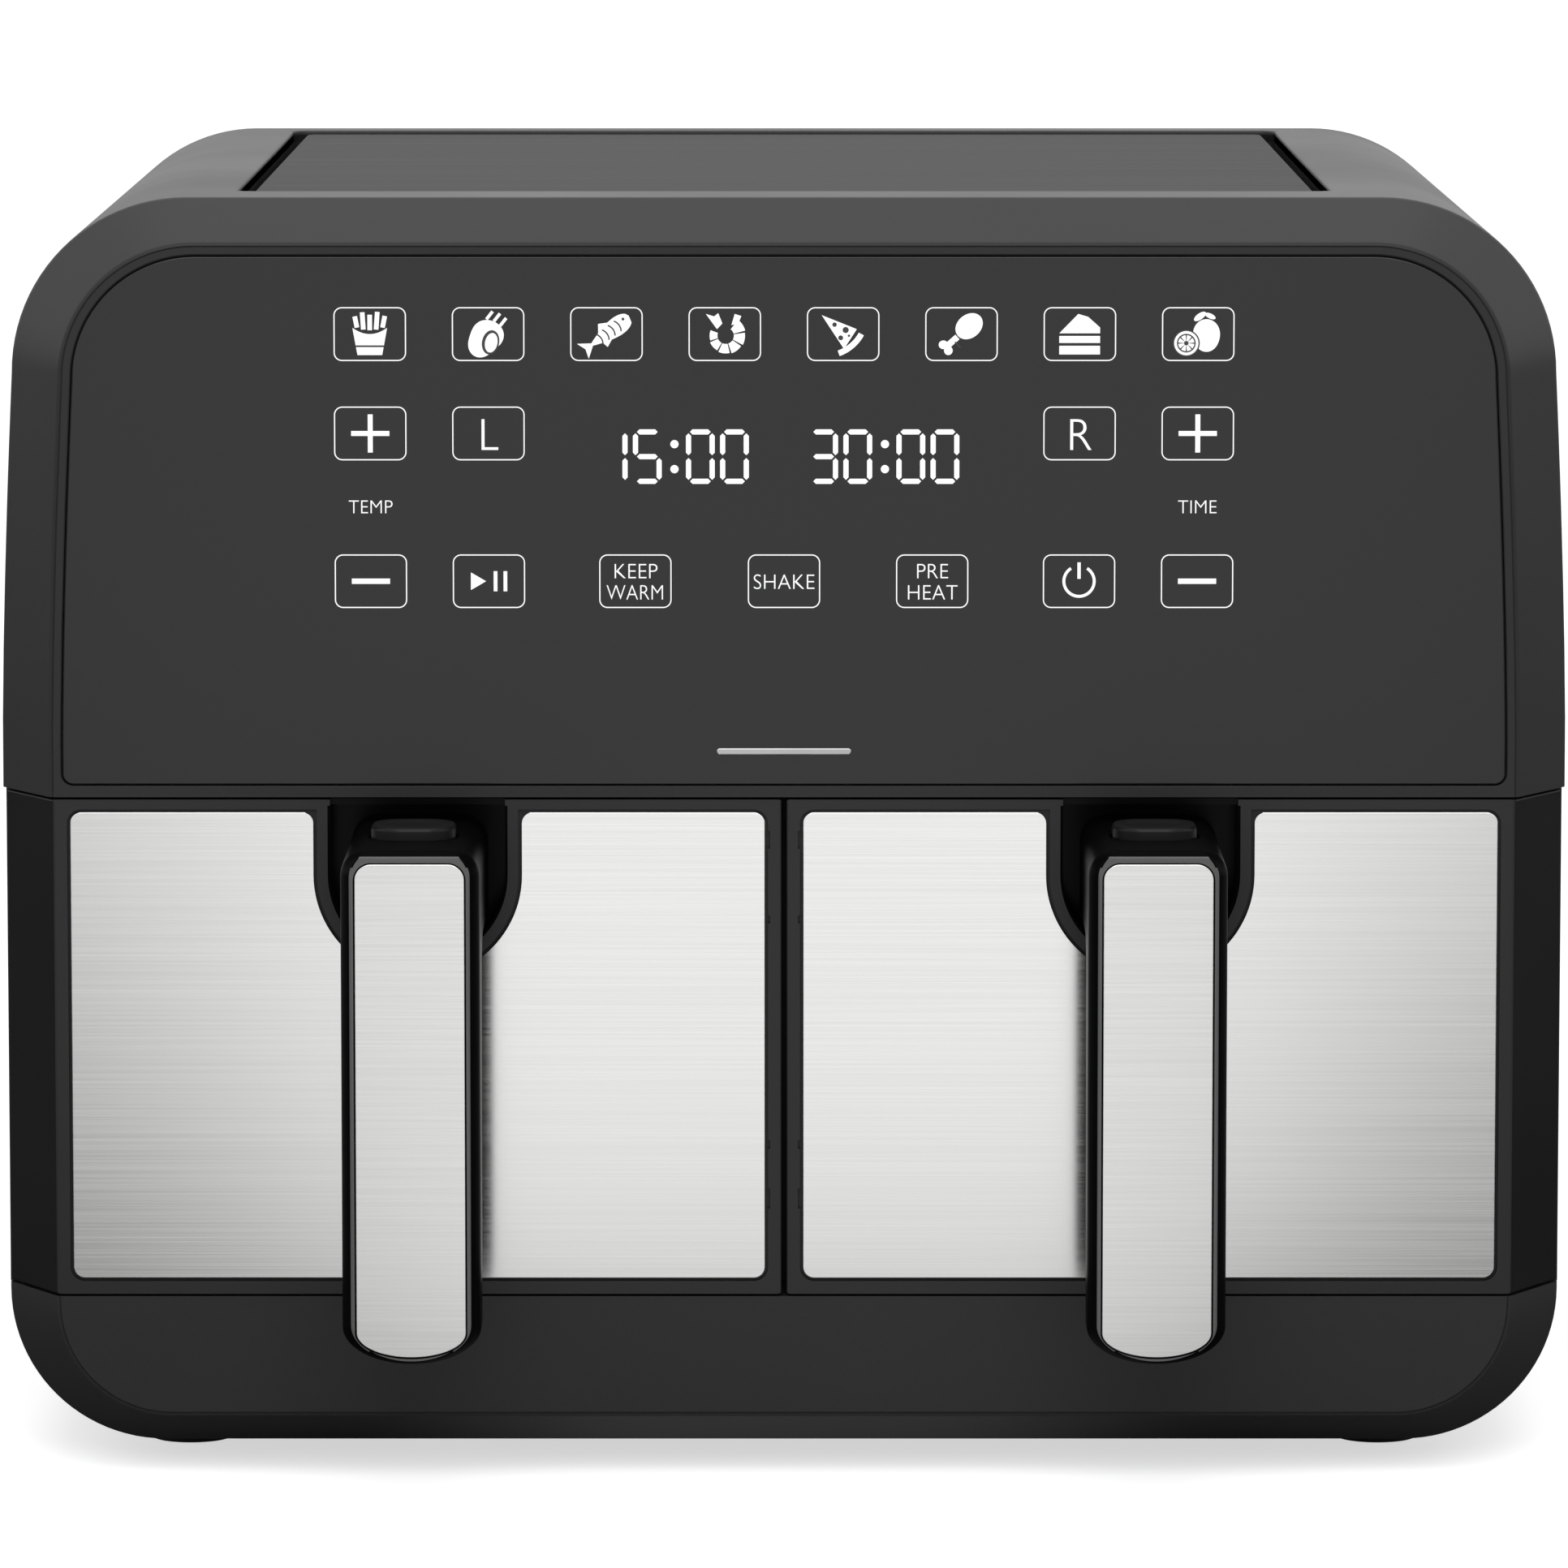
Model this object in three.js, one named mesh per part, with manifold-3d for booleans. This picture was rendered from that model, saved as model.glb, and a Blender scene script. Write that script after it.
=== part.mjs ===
// Twin-drawer air fryer, in millimetres. +X is to the right as the user faces it, +Y runs from the
// front to the back and +Z is up. The origin is at the middle of the footprint, on the surface that
// the feet stand on. Sizes along Y below are counted from the front rim, where the straight sides end
// and the tapered nose begins; the whole model is moved back to its origin at the end.
import * as THREE from "three";
import { mergeVertices } from "three/addons/utils/BufferGeometryUtils.js";
import Module from "manifold-3d";

const wasm = await Module();
wasm.setup();

// ---------------------------------------------------------------- driving dimensions

// Overall
const WIDTH = 385;
const BODY_DEPTH = 335; // front rim to back
const HEIGHT = 313.5;
const FOOT_HEIGHT = 5;
const BASE_HEIGHT = 39.7;
const DRAWER_BAY_HEIGHT = 123.5;

// Shells
const WALL = 2.5;
const SKIN = 3; // the round shells' wall
const BACK_WALL = 5.5;
const TOP_RADIUS = 43;
const BASE_RADIUS = 38;
const SIDE_LEAN = 3; // how far each side leans in below the top corner
const LEAN_START = 12; // height above the seam where the lean begins
const SEAM_STEP = 0.8; // the lower shells are this much narrower on each side
const SEAM_GAP = 0.3;
const NOSE_DEPTH = 22;
const NOSE_SIDE = 13.2; // taper of the nose at each side
const NOSE_EDGE = 10; // taper of the nose at the top and the bottom
const BACK_CHAMFER = 4;

// Control panel
const PANEL_MARGIN = 3.2; // from the edge of the nose
const PANEL_RADIUS = 30;
const PANEL_FOOT_RADIUS = 2.5;
const PANEL_THICKNESS = 2.7;
const PANEL_GAP = 0.4;
const PANEL_WINDOW_MARGIN = 22;
const BOARD_THICKNESS = 1.6;
const BOARD_LEDGE = 5;
const DISPLAY_WIDTH = 44;
const DISPLAY_HEIGHT = 17;
const DISPLAY_SPACING = 49; // centre to centre
const DISPLAY_DROP = 21.3; // from the window's top edge to the displays' top

// Top recess and the plate that floats in it
const RECESS_HALF_WIDTH = 135.5;
const RECESS_FRONT = 26;
const RECESS_BACK_MARGIN = 18.6;
const RECESS_DEPTH = 9;
const RECESS_RADIUS = 4;
const TOP_PLATE_GAP = 3.8;
const TOP_PLATE_FRONT_GAP = 0.5;
const TOP_PLATE_THICKNESS = 3;
const TOP_PLATE_DROP = 0.8;
const INTAKE_SLOT_WIDTH = 5;
const INTAKE_SLOTS = 6;
const INTAKE_SLOT_LENGTH = 54;
const INTAKE_SLOT_INSET = 40.5; // from the recess's side to the slots' middle
const PEG_RADIUS = 4;
const PEG_INSET = 12;

// Rear cover
const REAR_COVER_MARGIN_X = 42;
const REAR_COVER_LOW = 25; // above the drawer bay's floor
const REAR_COVER_TOP_MARGIN = 28;
const REAR_COVER_THICKNESS = 3;
const REAR_COVER_RADIUS = 10;
const REAR_LEDGE = 7;
const VENT_SLOTS = 7;
const VENT_SLOT_HEIGHT = 3;
const VENT_PITCH = 6.5;
const SCREW_INSET = 12;
const SCREW_HEAD_RADIUS = 4;
const SCREW_HEAD_HEIGHT = 1.6;
const SCREW_SHANK_RADIUS = 1.5;
const SCREW_LENGTH = 8;
const DRIVE_REACH = 2.4;
const DRIVE_WIDTH = 1;
const DRIVE_DEPTH = 0.8;
const GLAND_FLANGE_RADIUS = 8.5;
const GLAND_FLANGE_THICKNESS = 2;
const GLAND_BOOT_RADIUS = 6.4;
const GLAND_NECK_RADIUS = 6.5;
const GLAND_TAIL = 4; // inside the rear cover
const GLAND_BORE_RADIUS = 3.7;
const GLAND_LENGTH = 5; // behind the rear cover
const GLAND_SIDE = 42; // in from the rear cover's edge
const GLAND_UP = 34; // up from the rear cover's lower edge

// Feet
const FOOT_RADIUS = 11;
const FOOT_CHAMFER = 1;
const FOOT_DRAFT = 0.6;
const FOOT_SIDE_INSET = 43.7;
const FOOT_END_INSET = 32;

// Drawer fronts
const FRONT_GAP = 0.6; // round each drawer front
const FRONT_WALL = 3.2;
const PLATE_THICKNESS = 1.2;
const PLATE_GAP = 0.7;
const PLATE_SIDE_MARGIN = 4;
const PLATE_TOP_MARGIN = 3.1;
const PLATE_BOTTOM_MARGIN = 3.9;
const PLATE_RADIUS = 2.8;
const POCKET_SIDE_CLEARANCE = 4.7; // beside the handle
const POCKET_RING = 3.9;
const POCKET_STRAIGHT = 18.6; // from the drawer front's top to the centre of the pocket's round end
const POCKET_DEPTH = 18;
const POCKET_ROOF = 1.5;
const POCKET_ROOF_SETBACK = 3;

// Handles
const HANDLE_WIDTH = 33.4;
const HANDLE_REACH = 55; // from the drawer front's face to the handle's face
const HANDLE_BAR_DEPTH = 19;
const HANDLE_TOP_DROP = 5.8; // below the drawer front's top
const HANDLE_LENGTH = 125;
const HANDLE_ROOT_HEIGHT = 23;
const HANDLE_TOE_DEPTH = 14; // depth of the bar at its lower end
const HANDLE_FILLET = 10;
const HANDLE_NOSE = 2.2; // rounding between the handle's top and its face
const HANDLE_CORNER = 6.5;
const HANDLE_END_RISE = 9; // height of the rounding at the lower end
const HANDLE_BEVEL = 2.3;
const HANDLE_BEVEL_DEPTH = 5;
const INLAY_SIDE_MARGIN = 3.5;
const INLAY_TOP_MARGIN = 3.2;
const INLAY_BOTTOM_MARGIN = 2.3;
const INLAY_THICKNESS = 1;
const INLAY_CORNER = 4;
const INLAY_END_RISE = 6;

// Release buttons
const BUTTON_WIDTH = 20.4;
const BUTTON_DEPTH = 20;
const BUTTON_SETBACK = 30.6; // from the handle's face to the button's centre
const BUTTON_PROUD = 3;
const BUTTON_HEIGHT = 7;
const BUTTON_CORNER = 7.5;
const BUTTON_GAP = 0.4;
const BUTTON_WELL = 12;
const SPRING_RADIUS = 4;
const SPRING_WIRE_RADIUS = 0.6;
const SPRING_TURNS = 3;

// Pans
const PAN_WALL = 1;
const PAN_SIDE_CLEARANCE = 2; // beside the pan's rim, inside the bay opening
const PAN_FLOOR_CLEARANCE = 3.5;
const PAN_RIM_CLEARANCE = 4.5;
const PAN_RIM_WIDTH = 3;
const PAN_RIM_THICKNESS = 1.5;
const PAN_FRONT = 8;
const PAN_REAR_CLEARANCE = 25;
const PAN_RADIUS = 22;
const PAN_MOUNT_WIDTH = 60;
const PAN_MOUNT_HEIGHT = 30;
const PAN_MOUNT_RISE = 12; // above the bay's sill

// Crisper plates
const CRISPER_CLEARANCE = 2.2;
const CRISPER_THICKNESS = 1.2;
const CRISPER_RAISE = 12;
const CRISPER_ROWS = 6;
const CRISPER_COLUMNS = 4;
const CRISPER_SLOT_LENGTH = 22;
const CRISPER_SLOT_WIDTH = 12;
const CRISPER_BORDER = 17;
const CRISPER_WEB = 8; // least material between slots
const BUMPER_WIDTH = 12;
const BUMPER_DEPTH = 8;
const BUMPER_RADIUS = 2;

// Bays and cooking chambers
const BAY_POST = 9; // half the post between the two bay openings
const BAY_SIDE = 6; // beside each opening, inside the shell's wall
const BAY_SILL = 6;
const BAY_LINTEL = 4;
const BAY_RADIUS = 5;
const CHAMBER_WALL = 0.6;
const CHAMBER_LIP = 1.5; // the chamber stands this far outside the bay opening
const CHAMBER_BACK_MARGIN = 22;
const CHAMBER_DOME = 38; // height of the heater space above the bay
const EXHAUST_WIDTH = 74;
const EXHAUST_HEIGHT = 22;
const DUCT_WALL = 1.5;

// Heaters and fans
const GUARD_RADIUS = 74;
const GUARD_ROD = 2.2;
const GUARD_RISE = 4; // above the bay's lintel
const HEATER_TUBE_RADIUS = 3.2;
const HEATER_RADIUS = 64;
const HEATER_TURN = 0.94; // share of a full circle
const HEATER_RISE = 14;
const HEATER_TERMINAL = 10; // above the chamber's roof
const SHAFT_RADIUS = 3;
const SHAFT_CLEARANCE = 0.08;
const SHAFT_HOLE_CLEARANCE = 2; // through the chamber's roof
const SHAFT_END = 2; // beyond each fan
const TERMINAL_CLEARANCE = 1;
const FAN_HUB_RADIUS = 9;
const FAN_BLADE_THICKNESS = 1.6;
const FAN_BLADE_SKEW = 0.35; // radians from the radius
const FAN_ROOF_CLEARANCE = 3;
const FAN_MOTOR_CLEARANCE = 6;
const FAN_BLADES = 8;
const CONVECTION_FAN_RADIUS = 56;
const CONVECTION_FAN_HEIGHT = 12;
const COOLING_FAN_RADIUS = 48;
const COOLING_FAN_HEIGHT = 14;
const FAN_DISC = 1.5;
const MOTOR_RADIUS = 26;
const MOTOR_FLANGE_RADIUS = 33;
const MOTOR_HEIGHT = 32;
const MOTOR_FLANGE_THICKNESS = 2;
const MOTOR_SHOULDER = 6; // the can narrows by this
const MOTOR_SHOULDER_HEIGHT = 4;
const POWER_BOARD_WIDTH = 70;
const POWER_BOARD_LENGTH = 150;
const POWER_BOARD_STANDOFF = 6; // above the chambers' roofs

// What stands on the power board: name, place across and along it, width, length and height
const BOARD_PARTS = [
  { part: "transformer", x: -15, y: -51, width: 28, length: 28, height: 22 },
  { part: "left relay", x: 15, y: -55, width: 18, length: 16, height: 14 },
  { part: "right relay", x: 15, y: -31, width: 18, length: 16, height: 14 },
  { part: "capacitor", x: -15, y: -5, width: 16, length: 16, height: 24 },
  { part: "terminal strip", x: 0, y: 59, width: 60, length: 12, height: 10 },
];
const CONNECTOR_WIDTH = 28; // on the back of the display board
const CONNECTOR_HEIGHT = 6;
const CONNECTOR_DEPTH = 4;

// Every pair of still neighbours that meet keeps this gap
const TOUCH_GAP = 0.3;

// ---------------------------------------------------------------- levels and places worked out from them

const half = WIDTH / 2;
const lowerHalf = half - SEAM_STEP;
const baseTop = FOOT_HEIGHT + BASE_HEIGHT;
const bayTop = baseTop + DRAWER_BAY_HEIGHT;
const faceY = -NOSE_DEPTH;
const faceOuter = lowerHalf - NOSE_SIDE; // outer edge of a drawer front's face
const frontLow = baseTop + FRONT_GAP;
const frontHigh = bayTop - FRONT_GAP;
const faceCentre = (FRONT_GAP + faceOuter) / 2;
const bayInner = BAY_POST;
const bayOuter = lowerHalf - WALL - BAY_SIDE;
const bayCentre = (bayInner + bayOuter) / 2;
const bayLow = baseTop + BAY_SILL;
const bayHigh = bayTop - BAY_LINTEL;
const chamberBack = BODY_DEPTH - CHAMBER_BACK_MARGIN;
const chamberFront = WALL + TOUCH_GAP;
const chamberMiddle = (chamberFront + chamberBack) / 2;
const chamberRoof = bayTop + CHAMBER_DOME;
const handleFaceY = faceY - HANDLE_REACH;
const pocketHalf = HANDLE_WIDTH / 2 + POCKET_SIDE_CLEARANCE;
const glandEnd = BODY_DEPTH + GLAND_LENGTH;
const middleY = (handleFaceY + glandEnd) / 2;

// ---------------------------------------------------------------- materials

function material(color, roughness, metalness) {
  return new THREE.MeshStandardMaterial({ color, roughness, metalness });
}

const finishes = {
  shell: material(0x333333, 0.5, 0),
  drawer: material(0x2b2b2b, 0.45, 0),
  gloss: material(0x101010, 0.15, 0),
  panel: material(0x2e2e2e, 0.12, 0),
  steel: material(0xc4c4c2, 0.32, 1),
  nonstick: material(0x2a2a2b, 0.4, 0.3),
  chamber: material(0xa8aaab, 0.35, 1),
  heater: material(0x5d5a57, 0.5, 1),
  fan: material(0xb9bcbf, 0.35, 1),
  motor: material(0x8e9094, 0.45, 1),
  board: material(0x1f4d2e, 0.4, 0),
  display: material(0x16181a, 0.3, 0),
  rubber: material(0x1a1a1a, 0.85, 0),
  silicone: material(0x3c3c3e, 0.7, 0),
};

// ---------------------------------------------------------------- shape helpers

// A three.js geometry as a solid that can be joined and cut.
function solid(geometry) {
  const bare = new THREE.BufferGeometry();
  bare.setAttribute("position", geometry.getAttribute("position"));
  bare.setIndex(geometry.getIndex());
  const merged = mergeVertices(bare, 1e-4);
  return new wasm.Manifold(
    new wasm.Mesh({
      numProp: 3,
      vertProperties: merged.getAttribute("position").array,
      triVerts: new Uint32Array(merged.getIndex().array),
    }),
  );
}

function extruded(outline, length, hole) {
  const shape = new THREE.Shape(outline);
  if (hole) shape.holes.push(new THREE.Path(hole));
  return new THREE.ExtrudeGeometry(shape, { depth: length, bevelEnabled: false });
}

// An outline in x and z, carried along Y from y0 to y1.
function prismY(outline, y0, y1) {
  return solid(extruded(outline, y1 - y0).rotateX(Math.PI / 2).translate(0, y1, 0));
}

// An outline in x and y, carried up from z0 to z1.
function prismZ(outline, z0, z1, hole) {
  return solid(extruded(outline, z1 - z0, hole).translate(0, 0, z0));
}

// An outline in y and z, carried along X from x0 to x1.
function prismX(outline, x0, x1) {
  const turn = new THREE.Matrix4().set(0, 0, 1, x0, 1, 0, 0, 0, 0, 1, 0, 0, 0, 0, 0, 1);
  return solid(extruded(outline, x1 - x0).applyMatrix4(turn));
}

function block(x0, x1, y0, y1, z0, z1) {
  const box = new THREE.BoxGeometry(x1 - x0, y1 - y0, z1 - z0);
  return solid(box.translate((x0 + x1) / 2, (y0 + y1) / 2, (z0 + z1) / 2));
}

function rod(radius, x, y, z0, z1, sides = 24) {
  const cylinder = new THREE.CylinderGeometry(radius, radius, z1 - z0, sides);
  return solid(cylinder.rotateX(Math.PI / 2).translate(x, y, (z0 + z1) / 2));
}

function rodY(radius, x, z, y0, y1, sides = 16) {
  const cylinder = new THREE.CylinderGeometry(radius, radius, y1 - y0, sides);
  return solid(cylinder.translate(x, (y0 + y1) / 2, z));
}

// A profile of [radius, z] pairs turned about a vertical axis.
function turned(profile, x, y, sides = 32) {
  const points = profile.map(([r, z]) => new THREE.Vector2(r, z));
  return solid(new THREE.LatheGeometry(points, sides).rotateX(Math.PI / 2).translate(x, y, 0));
}

function joined(...solids) {
  return solids.reduce((whole, next) => whole.add(next));
}

// A tapering body through outlines of equal length, each an { outline in x and z, y }, front first.
function loft(stations) {
  const count = stations[0].outline.length;
  const position = stations.flatMap(({ outline, y }) => outline.flatMap((p) => [p.x, y, p.y]));
  const index = [];
  for (let s = 0; s < stations.length - 1; s++) {
    for (let i = 0; i < count; i++) {
      const a = s * count + i;
      const b = s * count + ((i + 1) % count);
      index.push(a, b, a + count, b, b + count, a + count);
    }
  }
  const last = (stations.length - 1) * count;
  for (const [a, b, c] of THREE.ShapeUtils.triangulateShape(stations[0].outline, [])) {
    index.push(a, c, b);
  }
  for (const [a, b, c] of THREE.ShapeUtils.triangulateShape(stations.at(-1).outline, [])) {
    index.push(last + a, last + b, last + c);
  }
  const geometry = new THREE.BufferGeometry();
  geometry.setAttribute("position", new THREE.Float32BufferAttribute(position, 3));
  geometry.setIndex(index);
  const made = solid(geometry);
  return made.volume() < 0 ? solid(flipped(geometry)) : made;
}

function flipped(geometry) {
  const index = geometry.getIndex().array;
  for (let i = 0; i < index.length; i += 3) {
    [index[i + 1], index[i + 2]] = [index[i + 2], index[i + 1]];
  }
  return geometry;
}

// Points on a quarter ellipse about (x, z), from one angle to another in quarter turns.
function arc(x, z, rx, rz, fromQuarter, toQuarter, steps = 8) {
  return Array.from({ length: steps + 1 }, (_, i) => {
    const angle = ((fromQuarter + ((toQuarter - fromQuarter) * i) / steps) * Math.PI) / 2;
    return new THREE.Vector2(x + rx * Math.cos(angle), z + rz * Math.sin(angle));
  });
}

function rounded(x0, x1, z0, z1, radius, steps = 4) {
  return [
    ...arc(x1 - radius, z0 + radius, radius, radius, -1, 0, steps),
    ...arc(x1 - radius, z1 - radius, radius, radius, 0, 1, steps),
    ...arc(x0 + radius, z1 - radius, radius, radius, 1, 2, steps),
    ...arc(x0 + radius, z0 + radius, radius, radius, 2, 3, steps),
  ];
}

// ---------------------------------------------------------------- outlines of the shell

// Half the upper shell's width at a height: straight at first, then leaning in towards the top corner.
function upperHalf(z) {
  const start = bayTop + LEAN_START;
  const share = THREE.MathUtils.clamp((z - start) / (HEIGHT - TOP_RADIUS - start), 0, 1);
  return half - SIDE_LEAN * share ** 1.5;
}

// The upper shell's section, inset from the outside by a side and a top distance.
function upperOutline(side, top, radius, low = bayTop) {
  const cornerZ = HEIGHT - top - radius;
  const steps = 4;
  const right = Array.from({ length: steps }, (_, i) => {
    const z = low + ((cornerZ - low) * i) / steps;
    return new THREE.Vector2(upperHalf(z) - side, z);
  });
  const x = upperHalf(cornerZ) - side;
  right.push(...arc(x - radius, cornerZ, radius, radius, 0, 1));
  const left = right.map((p) => new THREE.Vector2(-p.x, p.y)).reverse();
  return [...right, ...left];
}

// The base's section: flat on top, with rounded lower corners.
function baseOutline(side, bottom, radius, high = baseTop) {
  const z = FOOT_HEIGHT + bottom + radius;
  const right = [
    ...arc(lowerHalf - side - radius, z, radius, radius, -1, 0),
    new THREE.Vector2(lowerHalf - side, Math.max(high, z + 0.1)),
  ];
  const left = right.map((p) => new THREE.Vector2(-p.x, p.y)).reverse();
  return [...right, ...left];
}

// ---------------------------------------------------------------- shells

// The rear cover's place, shared by both shells that it closes.
const rearCover = {
  x: half - REAR_COVER_MARGIN_X,
  low: baseTop + REAR_COVER_LOW,
  high: HEIGHT - REAR_COVER_TOP_MARGIN,
};

// The seat for the rear cover: a rebate, and a smaller opening through the wall.
function rearSeat() {
  const { x, low, high } = rearCover;
  const seat = rounded(-x, x, low, high, REAR_COVER_RADIUS);
  const ledge = rounded(
    -x + REAR_LEDGE,
    x - REAR_LEDGE,
    low + REAR_LEDGE,
    high - REAR_LEDGE,
    REAR_COVER_RADIUS - WALL,
  );
  const depth = REAR_COVER_THICKNESS + TOUCH_GAP;
  return joined(
    prismY(seat, BODY_DEPTH - depth, BODY_DEPTH + 1),
    prismY(ledge, BODY_DEPTH - BACK_WALL - 1, BODY_DEPTH),
    ...screwPlaces().map(([sx, sz]) =>
      rodY(SCREW_SHANK_RADIUS + TOUCH_GAP, sx, sz, BODY_DEPTH - SCREW_LENGTH - 1, BODY_DEPTH),
    ),
  );
}

function screwPlaces() {
  const { x, low, high } = rearCover;
  const dx = x - REAR_LEDGE / 2;
  const dz = SCREW_INSET + REAR_COVER_RADIUS;
  return [-1, 1].flatMap((side) => [low + dz, high - dz].map((z) => [side * dx, z]));
}

function upperHousing() {
  const outside = loft([
    { outline: upperOutline(NOSE_SIDE, NOSE_EDGE, TOP_RADIUS - NOSE_EDGE), y: faceY },
    { outline: upperOutline(0, 0, TOP_RADIUS), y: 0 },
    { outline: upperOutline(0, 0, TOP_RADIUS), y: BODY_DEPTH - BACK_CHAMFER },
    {
      outline: upperOutline(BACK_CHAMFER, BACK_CHAMFER, TOP_RADIUS - BACK_CHAMFER),
      y: BODY_DEPTH,
    },
  ]);
    const floorZ = bayTop + WALL;
  const frontY = faceY + PANEL_THICKNESS + TOUCH_GAP + WALL;
  const taper = -frontY / NOSE_DEPTH;
  const noseHollow = loft([
    {
      outline: upperOutline(
        NOSE_SIDE * taper + SKIN,
        NOSE_EDGE * taper + SKIN,
        TOP_RADIUS - NOSE_EDGE * taper - SKIN,
        floorZ,
      ),
      y: frontY,
    },
    { outline: upperOutline(SKIN, SKIN, TOP_RADIUS - SKIN, floorZ), y: WALL + 1 },
  ]);
  const hollow = prismY(
    upperOutline(SKIN, SKIN, TOP_RADIUS - SKIN, bayTop - 1),
    WALL,
    BODY_DEPTH - BACK_WALL,
  );
  const tub = block(
    -RECESS_HALF_WIDTH - WALL,
    RECESS_HALF_WIDTH + WALL,
    RECESS_FRONT - WALL,
    BODY_DEPTH - RECESS_BACK_MARGIN + WALL,
    HEIGHT - RECESS_DEPTH - WALL,
    HEIGHT - 1,
  );
  const recess = prismZ(
    rounded(
      -RECESS_HALF_WIDTH,
      RECESS_HALF_WIDTH,
      RECESS_FRONT,
      BODY_DEPTH - RECESS_BACK_MARGIN,
      RECESS_RADIUS,
    ),
    HEIGHT - RECESS_DEPTH,
    HEIGHT + 1,
  );
  return outside
    .subtract(noseHollow)
    .subtract(hollow)
    .add(tub)
    .subtract(recess)
    .subtract(intakeSlots())
    .subtract(prismY(panelOutline(-PANEL_GAP), faceY - 1, faceY + PANEL_THICKNESS + TOUCH_GAP))
    .subtract(prismY(panelWindow(), faceY, frontY + 1))
    .subtract(rearSeat());
}

// Air is drawn in round the top plate and down through slots in the recess's floor.
function intakeSlots() {
  const length = BODY_DEPTH - RECESS_BACK_MARGIN - RECESS_FRONT;
  const pitch = length / (INTAKE_SLOTS + 1);
  const slots = [];
  for (const side of [-1, 1]) {
    for (let i = 1; i <= INTAKE_SLOTS; i++) {
      const y = RECESS_FRONT + pitch * i;
      const x = side * (RECESS_HALF_WIDTH - INTAKE_SLOT_INSET);
      const reach = INTAKE_SLOT_LENGTH / 2;
      const low = HEIGHT - RECESS_DEPTH - WALL - 1;
      const halfSlot = INTAKE_SLOT_WIDTH / 2;
      slots.push(block(x - reach, x + reach, y - halfSlot, y + halfSlot, low, HEIGHT));
    }
  }
  return joined(...slots);
}

// The control panel's outline, grown by a margin where it is cut out of its seat. Its sides follow the shell.
function panelOutline(shrink = 0) {
  const side = NOSE_SIDE + PANEL_MARGIN + shrink;
  const top = NOSE_EDGE + PANEL_MARGIN + shrink;
  const low = bayTop + PANEL_MARGIN + shrink;
  const foot = PANEL_FOOT_RADIUS - shrink;
  const outline = upperOutline(side, top, PANEL_RADIUS - shrink, low + foot);
  const corner = arc(upperHalf(low) - side - foot, low + foot, foot, foot, -1, 0, 4).slice(0, -1);
  return [
    ...corner,
    ...outline,
    ...corner.map((p) => new THREE.Vector2(-p.x, p.y)).reverse(),
  ];
}

// The opening behind the panel that the displays and the touch board look through.
const panelWindowSize = {
  x: half - NOSE_SIDE - PANEL_MARGIN - PANEL_WINDOW_MARGIN,
  low: bayTop + PANEL_WINDOW_MARGIN,
  high: HEIGHT - NOSE_EDGE - PANEL_WINDOW_MARGIN,
};

function panelWindow() {
  const { x, low, high } = panelWindowSize;
  return rounded(-x, x, low, high, PANEL_FOOT_RADIUS);
}

// The middle shell stops a seam's width above the base and below the upper housing.
function lowerHousing() {
  const low = baseTop + SEAM_GAP;
  const high = bayTop - SEAM_GAP;
  const outside = prismZ(
    [
      [lowerHalf, 0],
      [lowerHalf, BODY_DEPTH - BACK_CHAMFER],
      [lowerHalf - BACK_CHAMFER, BODY_DEPTH],
      [-lowerHalf + BACK_CHAMFER, BODY_DEPTH],
      [-lowerHalf, BODY_DEPTH - BACK_CHAMFER],
      [-lowerHalf, 0],
    ].map(([x, y]) => new THREE.Vector2(x, y)),
    low,
    high,
  );
  const inner = lowerHalf - WALL;
  const hollow = block(-inner, inner, WALL, BODY_DEPTH - BACK_WALL, low - 1, high + 1);
  const bays = [-1, 1].map((side) => {
    const x = [side * bayInner, side * bayOuter].sort((a, b) => a - b);
    return prismY(rounded(x[0], x[1], bayLow, bayHigh, BAY_RADIUS), -1, WALL + 1);
  });
  return outside.subtract(hollow).subtract(joined(...bays)).subtract(rearSeat());
}

function base() {
  const outside = loft([
    { outline: baseOutline(NOSE_SIDE, NOSE_EDGE, BASE_RADIUS - NOSE_EDGE), y: faceY },
    { outline: baseOutline(0, 0, BASE_RADIUS), y: 0 },
    { outline: baseOutline(0, 0, BASE_RADIUS), y: BODY_DEPTH - BACK_CHAMFER },
    {
      outline: baseOutline(BACK_CHAMFER, BACK_CHAMFER, BASE_RADIUS - BACK_CHAMFER),
      y: BODY_DEPTH,
    },
  ]);
    const frontY = faceY + WALL;
  const taper = -frontY / NOSE_DEPTH;
  const lid = baseTop - WALL;
  const noseHollow = loft([
    {
      outline: baseOutline(
        NOSE_SIDE * taper + SKIN,
        NOSE_EDGE * taper + SKIN,
        BASE_RADIUS - NOSE_EDGE * taper - SKIN,
        lid,
      ),
      y: frontY,
    },
    { outline: baseOutline(SKIN, SKIN, BASE_RADIUS - SKIN, lid), y: WALL + 1 },
  ]);
  const hollow = prismY(
    baseOutline(SKIN, SKIN, BASE_RADIUS - SKIN, baseTop + 1),
    WALL,
    BODY_DEPTH - WALL,
  );
  return outside.subtract(noseHollow).subtract(hollow).subtract(baseVents());
}

// Two rows of slots under the chambers let cool air in.
function baseVents() {
  const slots = [];
  for (const side of [-1, 1]) {
    for (let i = 0; i < VENT_SLOTS; i++) {
      const y = chamberMiddle + (i - (VENT_SLOTS - 1) / 2) * VENT_PITCH * 2;
      const x = side * bayCentre;
      const reach = EXHAUST_WIDTH / 2;
      const halfSlot = VENT_SLOT_HEIGHT / 2;
      slots.push(block(x - reach, x + reach, y - halfSlot, y + halfSlot, 0, FOOT_HEIGHT + WALL * 2));
    }
  }
  return joined(...slots);
}

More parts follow.
